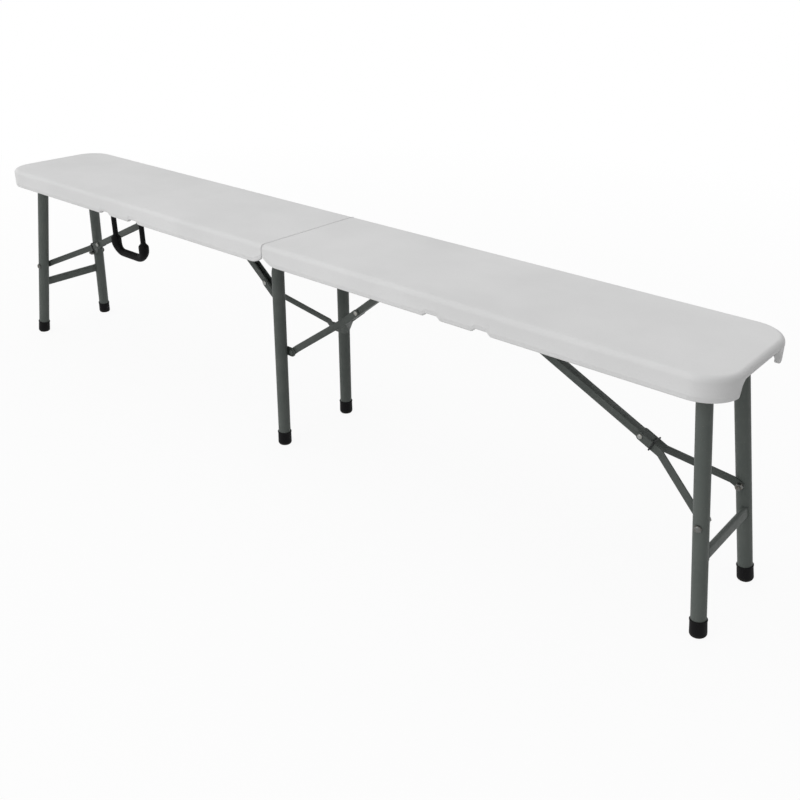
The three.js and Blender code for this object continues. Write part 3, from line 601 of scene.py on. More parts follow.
def bead_tree():
    """A weld bead: overlapping flattened drops along a line, each a little different."""
    inputs = {"Line": "Geometry", "Drop radius": "Float", "Spacing": "Float", "Seed": "Int"}
    tree, given = new_tree("weld bead on a line", inputs)
    curve = add_node(tree, "GeometryNodeMeshToCurve", {"Mesh": given["Line"]})
    spacing = {"Curve": curve, "Length": given["Spacing"]}
    spaced = add_node(tree, "GeometryNodeCurveToPoints", spacing, mode="LENGTH").outputs
    ball = {"Radius": given["Drop radius"], "Subdivisions": 2}
    drop = add_node(tree, "GeometryNodeMeshIcoSphere", ball)
    sizes = {0: (0.85, 0.85, 0.5), 1: (1.15, 1.15, 0.75), "Seed": given["Seed"]}
    size = add_node(tree, "FunctionNodeRandomValue", sizes, data_type="FLOAT_VECTOR")
    placed = {"Points": spaced["Points"], "Rotation": spaced["Rotation"]}
    drops = add_node(
        tree, "GeometryNodeInstanceOnPoints", {**placed, "Instance": drop, "Scale": size}
    )
    return close_tree(tree, drops, given["Material"])


def screw_tree():
    """Pan-head screws with a cross recess on points, heads down, each turned by chance."""
    inputs = {"Points": "Geometry", "Head radius": "Float", "Head height": "Float", "Seed": "Int"}
    tree, given = new_tree("screw heads on points", inputs)
    round_head = {"Segments": 28, "Rings": 14, "Radius": given["Head radius"]}
    ball = add_node(tree, "GeometryNodeMeshUVSphere", round_head)
    rise = {0: given["Head height"], 1: given["Head radius"]}
    share = add_node(tree, "ShaderNodeMath", rise, operation="DIVIDE")
    flat = add_node(tree, "ShaderNodeCombineXYZ", {"X": 1.0, "Y": 1.0, "Z": share})
    head = add_node(tree, "GeometryNodeTransform", {"Geometry": ball, "Scale": flat})
    recessed = add_node(
        tree, "GeometryNodeMeshBoolean", {"Mesh 1": head}, operation="DIFFERENCE"
    )
    down = mm(0.0, 0.0, -SCREW_SLOT_TALL)
    for size in ((SCREW_SLOT_LONG, SCREW_SLOT_WIDE), (SCREW_SLOT_WIDE, SCREW_SLOT_LONG)):
        blade = add_node(tree, "GeometryNodeMeshCube", {"Size": mm(*size, SCREW_SLOT_TALL)})
        lowered = {"Geometry": blade, "Translation": down}
        cutter = add_node(tree, "GeometryNodeTransform", lowered)
        tree.links.new(cutter.outputs[0], recessed.inputs["Mesh 2"])
    turns = {0: (0.0, 0.0, 0.0), 1: (0.0, 0.0, math.pi), "Seed": given["Seed"]}
    turn = add_node(tree, "FunctionNodeRandomValue", turns, data_type="FLOAT_VECTOR")
    placed = {"Points": given["Points"], "Instance": recessed, "Rotation": turn}
    heads = add_node(tree, "GeometryNodeInstanceOnPoints", placed)
    return close_tree(tree, heads, given["Material"])


def grown(tree, start_mesh, material, values):
    """The plain mesh that a tree makes from a starting mesh, a material and its inputs."""
    values = {**values, "Material": material}
    holder = add_object("holder", start_mesh)
    modifier = holder.modifiers.new("tree", "NODES")
    modifier.node_group = tree
    for socket in tree.interface.items_tree:
        if socket.name in values:
            modifier[socket.identifier] = values[socket.name]
    graph = bpy.context.evaluated_depsgraph_get()
    made = bpy.data.meshes.new_from_object(holder.evaluated_get(graph), depsgraph=graph)
    bpy.data.objects.remove(holder)
    return made


# The moulded seat


def notch_rise(x):
    return NOTCH_RISE * max((NOTCH_REACH - x) / (NOTCH_REACH - JOINT_X), 0.0) ** 2


def arch_rise(y):
    out = abs(y)
    if out <= ARCH_FLAT:
        return ARCH_RISE
    shoulder = min(out, ARCH_SHOULDER) - ARCH_FLAT
    curved = ARCH_RISE - ARCH_RADIUS + math.sqrt(ARCH_RADIUS ** 2 - shoulder ** 2)
    return curved * (1.0 - eased((out - ARCH_SHOULDER) / (ARCH_FOOT - ARCH_SHOULDER)))


def slot_rise(x):
    from_slot = min(abs(x - SLOT_MIDDLE - SLOT_OFFSET), abs(x - SLOT_MIDDLE + SLOT_OFFSET))
    return SLOT_RISE * (1.0 - eased((from_slot - SLOT_FLAT) / (SLOT_FOOT - SLOT_FLAT)))


def rim_level(x, y, slot_side):
    """Height of the rim's lower edge at a place in plan."""
    rise = notch_rise(x)
    if x > SEAT_END - SEAT_CORNER:
        rise += arch_rise(y)
    elif y * slot_side > 0:
        rise += slot_rise(x)
    return RIM_BOTTOM + rise


def arc_pairs(radius, count):
    """Sine and cosine parts of a quarter circle."""
    return [(radius * math.sin(a), radius * math.cos(a)) for a in steps(0.0, math.pi / 2.0, count)]


def rim_profile(bottom, edge, low_edge, wall, fillet, top_margin, under_margin, proud):
    """Rows of (inset, height) over the edge, down the side, under the rim and up to the deck."""
    side_top = SEAT_TOP - edge
    low = min(low_edge, LOW_EDGE_SHARE * (side_top - bottom))
    inner = min(INNER_EDGE, low_edge, INNER_EDGE_SHARE * (DECK_UNDER - bottom))
    deck = min(fillet, FILLET_SHARE * (DECK_UNDER - bottom))
    tall = side_top - bottom - low
    line = bottom + low + min(PARTING_ABOVE_EDGE, PARTING_SHARE * tall)
    half = min(PARTING_HALF, PARTING_HALF_SHARE * tall)
    rows = [(top_margin, SEAT_TOP), (edge + TOP_FACE_RIM, SEAT_TOP)]
    rows += [(edge - s, side_top + c) for s, c in arc_pairs(edge, 8)]
    rows += [(0.0, line + half), (-proud, line), (0.0, line - half)]
    rows += [(low - c, bottom + low - s) for s, c in arc_pairs(low, 5)]
    rows += [(wall - inner + s, bottom + inner - c) for s, c in arc_pairs(inner, 3)]
    rows += [(wall + deck - c, DECK_UNDER - deck + s) for s, c in arc_pairs(deck, 3)]
    rows.append((under_margin, DECK_UNDER))
    return rows


def side_profile(bottom):
    edges = (TOP_EDGE, LOW_EDGE, RIM_WALL, DECK_FILLET)
    return rim_profile(bottom, *edges, TOP_MARGIN, UNDER_MARGIN, PARTING_PROUD)


def joint_profile():
    edges = (JOINT_TOP_EDGE, JOINT_LOW_EDGE, JOINT_WALL, JOINT_FILLET)
    return rim_profile(JOINT_LIP_BOTTOM, *edges, JOINT_TOP_MARGIN, JOINT_UNDER_MARGIN, 0.0)


def side_stations(slotted):
    """Places along a straight side where the rim's section is drawn, closer where it changes."""
    stations = steps(0.0, NOTCH_REACH + NOTCH_PAST, 24) + [BLEND_STATION, JOINT_BLEND]
    straight = SEAT_END - SEAT_CORNER
    marks = [JOINT_BLEND, straight]
    if slotted:
        for middle in (SLOT_MIDDLE - SLOT_OFFSET, SLOT_MIDDLE + SLOT_OFFSET):
            for side in (-1.0, 1.0):
                flank = [middle + side * at for at in steps(SLOT_FLAT - 1.0, SLOT_FOOT + 1.0, 10)]
                stations += flank
                marks += [flank[0], flank[-1]]
    marks.sort()
    for low, high in zip(marks, marks[1:]):
        stations += steps(low, high, max(int((high - low) / STATION_STEP), 1))
    return sorted({round(station, 4) for station in stations})


def corner_angles():
    """Angles round an end corner, closer near the arch's foot. 0 is along X and 90 along Y."""
    fine = steps(0.0, ARCH_FOOT_DEGREES, 16)
    return fine + steps(ARCH_FOOT_DEGREES, 90.0, 20)[1:]


# Places in plan round the outline. Each function takes the side, how far along it the place is,
# and a row's inset from the side and from the joint.


def joint_round(inset, joint_inset):
    """Radius that is left of the joint's corner."""
    return max(JOINT_CORNER - min(inset, joint_inset), 0.0)


def along_side(side, station, inset, joint_inset):
    x = station
    if station < JOINT_BLEND:
        start = JOINT_X + joint_inset + joint_round(inset, joint_inset)
        x = mix(start, JOINT_BLEND, station / JOINT_BLEND)
    return x, side * (SEAT_HALF_WIDTH - inset)


def round_corner(side, degrees, inset, joint_inset):
    x, y = polar(SEAT_CORNER - inset, math.radians(degrees))
    return SEAT_END - SEAT_CORNER + x, side * (SEAT_HALF_WIDTH - SEAT_CORNER + y)


def across_end(side, y, inset, joint_inset):
    return SEAT_END - inset, side * y


def joint_corner(side, degrees, inset, joint_inset):
    angle = math.radians(degrees)
    corner = joint_round(inset, joint_inset)
    x = JOINT_X + joint_inset + corner * (1.0 - math.sin(angle))
    return x, side * (SEAT_HALF_WIDTH - inset - corner * (1.0 - math.cos(angle)))


def along_joint(side, share, inset, joint_inset):
    half = SEAT_HALF_WIDTH - inset - joint_round(inset, joint_inset)
    return JOINT_X + joint_inset, side * share * half


def seat_columns(slot_side):
    """Every place where the section is drawn, from the near joint corner on: its function, side
    and place along it, and its share of the joint's own section."""
    ends = steps(SEAT_HALF_WIDTH - SEAT_CORNER - 1.0, ARCH_FLAT - 2.0, 12)
    ends += steps(ARCH_FLAT - 6.0, 2.0, 6)
    parts = []
    for side in (-1.0, 1.0):
        run = [(along_side, side, at, 0.0) for at in side_stations(side == slot_side)]
        run += [(round_corner, side, at, 0.0) for at in reversed(corner_angles())]
        run += [(across_end, side, at, 0.0) for at in ends]
        turn = [(joint_corner, side, at, at / 90.0) for at in steps(15.0, 75.0, 4)]
        lip = [(along_joint, side, at, 1.0) for at in steps(1.0, 0.04, 12)]
        parts.append((run, turn, lip))
    (near_run, near_turn, near_lip), (run, turn, lip) = parts
    return near_run + run[::-1] + turn + lip + near_lip[::-1] + near_turn[::-1]


def seat_mesh(name, slot_side):
    build = bmesh.new()
    joint_rows = joint_profile()
    plain_rows = side_profile(RIM_BOTTOM)
    rings = [[] for _ in plain_rows]
    for place, side, at, share in seat_columns(slot_side):
        for index, ring in enumerate(rings):
            joint_inset, joint_z = joint_rows[index]
            x, y = place(side, at, plain_rows[index][0], joint_inset)
            inset, z = side_profile(rim_level(x, y, slot_side))[index]
            x, y = place(side, at, inset, joint_inset)
            ring.append(build.verts.new(mm(x, y, mix(z, joint_z, share))))
    skin(build, rings)
    build.faces.new(rings[0])
    deck_underside(build, rings[-1])
    bmesh.ops.remove_doubles(build, verts=build.verts, dist=mm(SEAT_MERGE))
    return mesh_from(build, name)


def pit_places():
    """Centres of the moulded pits under the deck, where its two skins meet in the real bench."""
    columns = [PIT_START + column * PIT_SPACING for column in range(PIT_COUNT)]
    return [(x, side * row) for x in columns for row in PIT_ROWS for side in (-1.0, 1.0)]


def deck_underside(build, edge):
    """Fills the underside inside the rim: flat, with the brace groove and rows of shallow pits."""
    flat = [Vector((vertex.co.x, vertex.co.y)) for vertex in edge]
    heights = [vertex.co.z for vertex in edge]
    lines = []

    def loop(points, z):
        start = len(flat)
        flat.extend(Vector((mm(x), mm(y))) for x, y in points)
        heights.extend(mm(z) for _ in points)
        lines.extend((start + at, start + (at + 1) % len(points)) for at in range(len(points)))

    def box_points(inset):
        half = GROOVE_HALF - inset
        low = GROOVE_START + inset
        high = GROOVE_END - inset
        return [(low, -half), (high, -half), (high, half), (low, half)]

    loop(box_points(0.0), DECK_UNDER)
    loop(box_points(GROOVE_DRAFT), GROOVE_ROOF)
    for x, y in pit_places():
        for radius, z in (
            (PIT_RADIUS + PIT_LIP, DECK_UNDER),
            (PIT_RADIUS, DECK_UNDER + PIT_LIP / 3.0),
            (PIT_FLOOR_RADIUS + PIT_LIP, DECK_UNDER + PIT_DEPTH - PIT_LIP / 3.0),
            (PIT_FLOOR_RADIUS, DECK_UNDER + PIT_DEPTH),
        ):
            angles = steps(0.0, 2.0 * math.pi, PIT_SIDES)[:-1]
            loop([(x + radius * math.cos(a), y + radius * math.sin(a)) for a in angles], z)
    outline = [list(range(len(edge)))]
    found, _, faces, sources, _, _ = delaunay_2d_cdt(flat, lines, outline, 1, mm(CUT_MERGE))
    vertices = []
    for point, source in zip(found, sources):
        first = min(source)
        if first < len(edge):
            vertices.append(edge[first])
        else:
            vertices.append(build.verts.new((point.x, point.y, heights[first])))
    for face in faces:
        build.faces.new([vertices[at] for at in face])


def make_seats(material):
    for label, turn in HALVES.items():
        seat = f"{label}_seat"
        mesh = seat_mesh(seat, near_far(label)[0][0])
        show(f"{seat}_moulding", mesh, material, f"{label}_half", [seat], turn)


# Tubes, welds and feet


def tube(tree, points, radius, material, thickness=None, sides=TUBE_SIDES):
    start = line_mesh(points, thickness or [1.0] * len(points))
    return grown(tree, start, material, {"Radius": mm(radius), "Sides": sides})


def end_leg_points(side):
    top = mm(END_PIVOT_X, side * END_TOP_HALF, END_AXIS_Z)
    foot = mm(END_PIVOT_X + END_LEAN, side * END_FOOT_HALF, 0.0)
    return top, foot


def ring_round(start, end, along):
    """A ring on the tube about a line. Each point's distance along it comes from a function."""
    turn = axis_turn(start, end).to_3x3()
    direction = (end - start).normalized()
    offsets = [turn @ point for point in circle(TUBE_RADIUS, 0.0, RING_SIDES)]
    return [start + offset + direction * along(offset) for offset in offsets]


def bead(trees, points, seed, material):
    values = {"Drop radius": mm(BEAD_RADIUS), "Spacing": mm(BEAD_SPACING), "Seed": seed}
    return grown(trees["bead"], line_mesh(points, closed=True), material, values)


def reach_to_tube(offset, ray, axis, end):
    """How far along a ray a point meets a tube, on its far side for 1 or its near one for -1.
    The offset is the point's place from one on the tube's axis."""
    flat_ray = ray - axis * ray.dot(axis)
    flat = offset - axis * offset.dot(axis)
    a = flat_ray.dot(flat_ray)
    b = flat.dot(flat_ray)
    c = flat.dot(flat) - mm(TUBE_RADIUS) ** 2
    return (-b + end * math.sqrt(max(b * b - a * c, 0.0))) / a


def make_cross_tube(trees, steel, stand, x, half, z, turn=None):
    node = f"{stand}_cross_tube"
    bar = tube(trees["tube"], [mm(x, -half, z), mm(x, half, z)], TUBE_RADIUS, steel)
    show(f"{node}_bar", bar, steel, f"{stand}_legs", [node], turn=turn)


def make_leg(trees, materials, stand, where, points, ring, seed, ends, turn=None):
    """A leg's tube, the weld at its top, and the cap on its foot."""
    steel, body = materials["steel"], f"{stand}_legs"
    node, cap = f"{stand}_leg_{where}", f"{stand}_cap_{where}"
    leg = tube(trees["tube"], points, TUBE_RADIUS, steel)
    show(f"{node}_tube", leg, steel, body, [node], turn=turn)
    show(f"{node}_weld", bead(trees, ring, seed, steel), steel, body, turn=turn)
    cup = cap_mesh(cap, *ends)
    show(f"{cap}_cup", cup, materials["rubber"], body, [cap], turn)


def make_end_legs(trees, materials):
    steel = materials["steel"]
    cross_axis = Vector((0.0, 1.0, 0.0))
    for label, turn in HALVES.items():
        stand = f"{label}_end"
        make_cross_tube(trees, steel, stand, END_PIVOT_X, END_CROSS_HALF, END_AXIS_Z, turn)
        for side, where in near_far(label):
            top, foot = ends = end_leg_points(side)
            down = (foot - top).normalized()
            gap = down * mm(TUBE_END_GAP)
            points = [top + gap, foot - gap]
            ring = ring_round(top, foot, lambda at: reach_to_tube(at, down, cross_axis, 1.0))
            make_leg(trees, materials, stand, where, points, ring, LEG_WELD_SEED, ends, turn)
        make_crossbar(trees, steel, label, f"{stand}_legs", turn)


def leg_half_at(height):
    return mix(END_TOP_HALF, END_FOOT_HALF, (END_AXIS_Z - height) / END_AXIS_Z)


def leg_x_at(height):
    return END_PIVOT_X + END_LEAN * (END_AXIS_Z - height) / END_AXIS_Z


def make_crossbar(trees, steel, label, body, turn):
    """Flattened tube across the outside of the legs, with a weld at each end."""
    lean = math.atan2(END_LEAN, END_AXIS_Z)
    x = leg_x_at(CROSSBAR_Z) + CROSSBAR_OFFSET * math.cos(lean)
    z = CROSSBAR_Z + CROSSBAR_OFFSET * math.sin(lean)
    half = leg_half_at(CROSSBAR_Z) - CROSSBAR_END_GAP
    tilt = Matrix.Translation(mm(x, 0.0, z)) @ Matrix.Rotation(-lean, 4, "Y")
    section = []
    for sx, sz, start in ((1, -1, -90), (1, 1, 0), (-1, 1, 90), (-1, -1, 180)):
        centre_x = sx * (CROSSBAR_DEEP / 2.0 - CROSSBAR_CORNER)
        centre_z = sz * (CROSSBAR_TALL / 2.0 - CROSSBAR_CORNER)
        for degrees in steps(start, start + 90.0, 6):
            out_x, out_z = polar(CROSSBAR_CORNER, math.radians(degrees))
            section.append((centre_x + out_x, centre_z + out_z))
    build = bmesh.new()
    rings = []
    for y in (-half, half):
        rings.append([build.verts.new(tilt @ mm(px, y, pz)) for px, pz in section])
    skin(build, rings)
    for ring in rings:
        build.faces.new(ring)
    node = f"{label}_end_crossbar"
    show(f"{node}_bar", mesh_from(build, node), steel, body, [node], turn=turn)
    for side in (-1.0, 1.0):
        top, foot = end_leg_points(side)
        direction = (foot - top).normalized()
        points = []
        for px, pz in section:
            start = tilt @ mm(px * CROSSBAR_WELD_SHARE, 0.0, pz * CROSSBAR_WELD_SHARE)
            ray = Vector((0.0, side, 0.0))
            points.append(start + ray * reach_to_tube(start - top, ray, direction, -1.0))
        weld = bead(trees, points, CROSSBAR_WELD_SEED, steel)
        name = "near" if side < 0 else "far"
        show(f"{node}_weld_{name}", weld, steel, body, turn=turn)


def cap_mesh(name, top, foot):
    """Moulded cup on a foot, with a rolled lip at its top and a rounded sole, flat on the floor."""
    up = axis_turn(foot, top)
    edge, sole = CAP_SOLE_EDGE, -CAP_OVERHANG
    profile = [(0.0, sole)]
    profile += [(CAP_RADIUS - edge + s, sole + edge - c) for s, c in arc_pairs(edge, 6)]
    profile += [(CAP_RADIUS + out, CAP_TALL + rise) for out, rise in CAP_LIP]
    profile += [(TUBE_RADIUS + out, CAP_TALL + rise) for out, rise in CAP_MOUTH]
    profile.append((0.0, profile[-1][1]))
    build = bmesh.new()
    turned(build, profile, up, RING_SIDES)
    parts = list(build.verts) + list(build.edges) + list(build.faces)
    cut = bmesh.ops.bisect_plane(
        build, geom=parts, plane_co=(0, 0, 0), plane_no=(0, 0, -1), clear_outer=True
    )
    rim = [item for item in cut["geom_cut"] if isinstance(item, bmesh.types.BMEdge)]
    bmesh.ops.contextual_create(build, geom=rim)
    return mesh_from(build, name)


def make_middle_frame(trees, materials):
    make_cross_tube(trees, materials["steel"], "middle", 0.0, MIDDLE_SLEEVE_HALF, FOLD_Z)
    for side, where in ((-1.0, "near"), (1.0, "far")):
        foot = mm(0.0, side * MIDDLE_FOOT_HALF, 0.0)
        top = mm(0.0, side * MIDDLE_TOP_HALF, FOLD_Z)
        inner = mm(0.0, side * (MIDDLE_SLEEVE_HALF + SLEEVE_OVERLAP), FOLD_Z)
        start = foot + (top - foot).normalized() * mm(TUBE_END_GAP)
        points = rounded_line([start, top, inner], mm(MIDDLE_ELBOW), 20)
        weld_at = mm(0.0, side * MIDDLE_SLEEVE_HALF, FOLD_Z)
        ring = ring_round(weld_at, weld_at + mm(0.0, side, 0.0), lambda at: 0.0)
        ends = (top, foot)
        make_leg(trees, materials, "middle", where, points, ring, SLEEVE_WELD_SEED, ends)


# Sheet steel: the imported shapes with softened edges


def softened(nodes, node, steel, body):
    """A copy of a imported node, merged, with its corners rounded over by a small width."""
    build = bmesh.new()
    build.from_mesh(nodes[node].data)
    bmesh.ops.remove_doubles(build, verts=build.verts, dist=mm(SHEET_MERGE))
    flat = math.radians(SHEET_FLAT_DEGREES)
    bmesh.ops.dissolve_limit(build, angle_limit=flat, verts=build.verts, edges=build.edges)
    least = math.radians(SHEET_CORNER_DEGREES)
    corners = [edge for edge in build.edges if edge.calc_face_angle(0.0) > least]
    rounding = {"offset": mm(SHEET_EDGE), "segments": 2, "profile": 0.5, "clamp_overlap": True}
    bmesh.ops.bevel(build, geom=corners, affect="EDGES", **rounding)
    bmesh.ops.triangulate(build, faces=[face for face in build.faces if len(face.verts) > 4])
    show(f"{node}_pressing", mesh_from(build, node, turn_out=False), steel, body, [node])


def make_pressings(nodes, steel):
    for label in HALVES:
        brackets = ("hinge_bracket", "end_brace_bracket", "middle_brace_bracket")
        for node in ("rail_near", "rail_far", *brackets):
            softened(nodes, f"{label}_{node}", steel, f"{label}_half")
        for brace in ("end", "middle"):
            softened(nodes, f"{label}_{brace}_brace_link", steel, f"{label}_{brace}_link")
        for where in ("near", "far"):
            for brace in ("end", "middle"):
                arm = f"{label}_{brace}_brace_arm_{where}"
                softened(nodes, arm, steel, f"{label}_{brace}_arms")
    for where in ("near", "far"):
        softened(nodes, f"middle_leg_plate_{where}", steel, "middle_legs")
    for where in ("outer", "inner"):
        softened(nodes, f"handle_bracket_{where}", steel, "left_half")


# Fasteners


def across(x, y, z, side):
    """A place whose Z axis points out along Y, to one side."""
    return Matrix.Translation(mm(x, y, z)) @ Matrix.Rotation(-side * math.pi / 2.0, 4, "X")


def pin(build, place, radius, low, high, sides=PIN_SIDES):
    """A plain round pin or washer along a place's Z axis."""
    turned(build, [(0.0, low), (radius, low), (radius, high), (0.0, high)], place, sides)


def dome(build, place, radius, tall):
    """A rivet or bolt head: an upright rim under a dome, with a shallow set mark."""
    rim = tall * HEAD_RIM_SHARE
    profile = [(0.0, -HEAD_SUNK), (radius, -HEAD_SUNK), (radius, rim)]
    for share in steps(*HEAD_ARC):
        angle = share * math.pi / 2.0
        profile.append((radius * math.cos(angle), rim + (tall - rim) * math.sin(angle)))
    wide, narrow = SET_MARK_SHARES
    floor = tall - SET_MARK_DEEP
    profile += [(radius * wide, tall), (radius * narrow, floor), (0.0, floor)]
    turned(build, profile, place, HEAD_SIDES)


def hexagon(build, place, low, high):
    """A nut with its corners turned off."""
    inner = NUT_ACROSS / 2.0
    face = inner * NUT_FACE_SHARE
    slope = math.tan(math.radians(NUT_CHAMFER_DEGREES))
    rings = [[], [], [], []]
    for side in range(NUT_SIDES):
        angle = 2.0 * math.pi * side / NUT_SIDES
        reach = inner / math.cos((angle % (math.pi / 3.0)) - math.pi / 6.0)
        drop = (reach - face) * slope
        rows = ((face, low), (reach, low + drop), (reach, high - drop), (face, high))
        for ring, (radius, height) in zip(rings, rows):
            ring.append(build.verts.new(place @ mm(*polar(radius, angle), height)))
    skin(build, rings)
    build.faces.new(rings[0])
    build.faces.new(rings[-1])


def threaded_end(build, place, low, high):
    root = THREAD_RADIUS - THREAD_DEPTH
    profile = [(0.0, low), (THREAD_RADIUS, low)]
    height = low
    while height < high - THREAD_PITCH:
        profile.append((THREAD_RADIUS, height + THREAD_PITCH * THREAD_CREST_SHARE))
        profile.append((root, height + THREAD_PITCH * THREAD_ROOT_SHARE))
        height += THREAD_PITCH
        profile.append((THREAD_RADIUS, height))
    profile += [(THREAD_RADIUS - THREAD_END, high), (0.0, high)]
    turned(build, profile, place, PIN_SIDES)


def plated(name, zinc, body, turn, replaced, *parts):
    """A plated fastener from its parts: each one is a shape, its place and its sizes."""
    build = bmesh.new()
    for shape, place, *sizes in parts:
        shape(build, place, *sizes)
    show(name, mesh_from(build, name), zinc, body, replaced, turn)


def make_end_bolts(zinc):
    """Bolt through each end leg, with a washer under its head, and its nut on the brace arm."""
    reach = TUBE_RADIUS / math.cos(math.atan2(END_FOOT_HALF - END_TOP_HALF, END_AXIS_Z))
    x = leg_x_at(END_BOLT_Z)
    outer = leg_half_at(END_BOLT_Z) + reach
    inner = leg_half_at(END_BOLT_Z) - reach
    tab_face = leg_half_at(END_BOLT_Z + ARM_TAB_REACH) - reach - RUNNING_GAP - ARM_WALL
    washer_low = outer - WASHER_SUNK
    washer_high = washer_low + WASHER_TALL
    for label, turn in HALVES.items():
        for side, where in near_far(label):
            node = f"{label}_end_bolt_{where}"
            place = across(x, 0.0, END_BOLT_Z, side)
            head = across(x, side * washer_high, END_BOLT_Z, side)
            bolt = (
                (pin, place, RIVET_RADIUS, inner, outer),
                (pin, place, WASHER_RADIUS, washer_low, washer_high, WASHER_SIDES),
                (dome, head, BOLT_HEAD_RADIUS, BOLT_HEAD_TALL),
            )
            plated(f"{node}_steel", zinc, f"{label}_end_legs", turn, [node], *bolt)
            place = across(x, side * tab_face, END_BOLT_Z, -side)
            nut = (
                (pin, place, NUT_WASHER_RADIUS, 0.0, NUT_WASHER_TALL, WASHER_SIDES),
                (hexagon, place, NUT_WASHER_TALL, NUT_WASHER_TALL + NUT_TALL),
                (threaded_end, place, NUT_TALL, NUT_TALL + NUT_THREAD_TALL),
            )
            name = f"{label}_end_arm_nut_{where}"
            plated(name, zinc, f"{label}_end_arms", turn, (), *nut)


def make_knee_rivets(zinc):
    half = CHANNEL_HALF + RUNNING_GAP + ARM_WALL
    (end_x, end_z), (middle_x, middle_z) = END_KNEE, MIDDLE_KNEE
    for label, turn in HALVES.items():
        rivet, stubs = [], []
        for side in (-1.0, 1.0):
            rivet.append((pin, across(end_x, 0.0, end_z, side), RIVET_RADIUS, 0.0, half))
            head = across(end_x, side * (half + HEAD_OVER_ARM), end_z, side)
            rivet.append((dome, head, RIVET_HEAD_RADIUS, RIVET_HEAD_TALL))
            place = across(middle_x, 0.0, middle_z, side)
            stubs.append((pin, place, RIVET_RADIUS, 0.0, CHANNEL_HALF + HEAD_GAP))
        node = f"{label}_end_knee_rivet"
        plated(f"{node}_steel", zinc, f"{label}_end_link", turn, [node], *rivet)
        node = f"{label}_middle_knee_pin"
        plated(f"{node}_steel", zinc, f"{label}_middle_link", turn, [node], *stubs)


def make_middle_heads(zinc):
    """Rivet heads on the middle arms: at the knee's tail and outside each leg's plate."""
    bolt_x, bolt_z = MIDDLE_BOLT
    knee_x, knee_z = MIDDLE_KNEE
    tail_share = 1.0 + MIDDLE_ARM_TAIL / math.hypot(knee_x - bolt_x, knee_z - bolt_z)
    tail_x, tail_z = mix(bolt_x, knee_x, tail_share), mix(bolt_z, knee_z, tail_share)
    tail_face = CHANNEL_HALF + RUNNING_GAP + ARM_WALL + HEAD_GAP
    leg_half = mix(MIDDLE_FOOT_HALF, MIDDLE_TOP_HALF, bolt_z / FOLD_Z)
    plate_face = leg_half - TUBE_RADIUS - SHEET_CLEAR
    for label, turn in HALVES.items():
        for side, where in near_far(label):
            tail = across(tail_x, side * tail_face, tail_z, side)
            bolt = across(bolt_x, side * plate_face, bolt_z, side)
            heads = (
                (dome, tail, TAIL_HEAD_RADIUS, MIDDLE_HEAD_TALL),
                (dome, bolt, PLATE_HEAD_RADIUS, MIDDLE_HEAD_TALL),
            )
            name = f"{label}_middle_arm_rivets_{where}"
            plated(name, zinc, f"{label}_middle_arms", turn, (), *heads)


def make_anchor_heads(zinc):
    """Upset ends of the anchor pins outside their brackets' ears."""
    face = CHANNEL_HALF + RUNNING_GAP + EAR_WALL + HEAD_GAP
    for label, turn in HALVES.items():
        for brace, (x, z) in (("end", END_ANCHOR), ("middle", MIDDLE_ANCHOR)):
            places = [across(x, side * face, z, side) for side in (-1.0, 1.0)]
            heads = [(dome, place, ANCHOR_HEAD_RADIUS, ANCHOR_HEAD_TALL) for place in places]
            name = f"{label}_{brace}_anchor_pin_heads"
            plated(name, zinc, f"{label}_half", turn, (), *heads)


def make_screws(tree, zinc):
    """Screws that hold the rails and the hinge plate up to the deck."""
    values = {"Head radius": mm(SCREW_HEAD_ACROSS / 2.0), "Head height": mm(SCREW_HEAD_TALL)}
    for label, turn in HALVES.items():
        mesh = bpy.data.meshes.new("screw places")
        points = []
        for side in (-1.0, 1.0):
            for places, out, sheet in SCREW_ROWS:
                z = DECK_UNDER - SHEET_CLEAR - sheet
                points += [tuple(mm(x, side * out, z)) for x in places]
        mesh.from_pydata(points, [], [])
        heads = grown(tree, mesh, zinc, {**values, "Seed": SCREW_SEED})
        show(f"{label}_deck_screws", heads, zinc, f"{label}_half", (), turn)


# Lock clips and handle


def make_clips(tree, wire):
    slope = math.atan2(END_ANCHOR[1] - END_KNEE[1], END_KNEE[0] - END_ANCHOR[0])
    knee = Matrix.Translation(mm(END_KNEE[0], 0.0, END_KNEE[1]))
    along = knee @ Matrix.Rotation(slope, 4, "Y")
    bends = [(CLIP_TIP, -CLIP_LEVEL), (CLIP_SIDE, -CLIP_LEVEL), (CLIP_SIDE, CLIP_LEVEL)]
    corners = [mm(CLIP_ALONG, -y, z) for y, z in bends]
    corners += [mm(CLIP_ALONG, y, z) for y, z in reversed(bends)]
    for label, turn in HALVES.items():
        points = [along @ point for point in rounded_line(corners, mm(CLIP_CORNER), 8)]
        mesh = tube(tree, points, CLIP_WIRE, wire, sides=20)
        node = f"{label}_lock_clip"
        show(f"{node}_wire", mesh, wire, f"{label}_clip", [node], turn=turn)


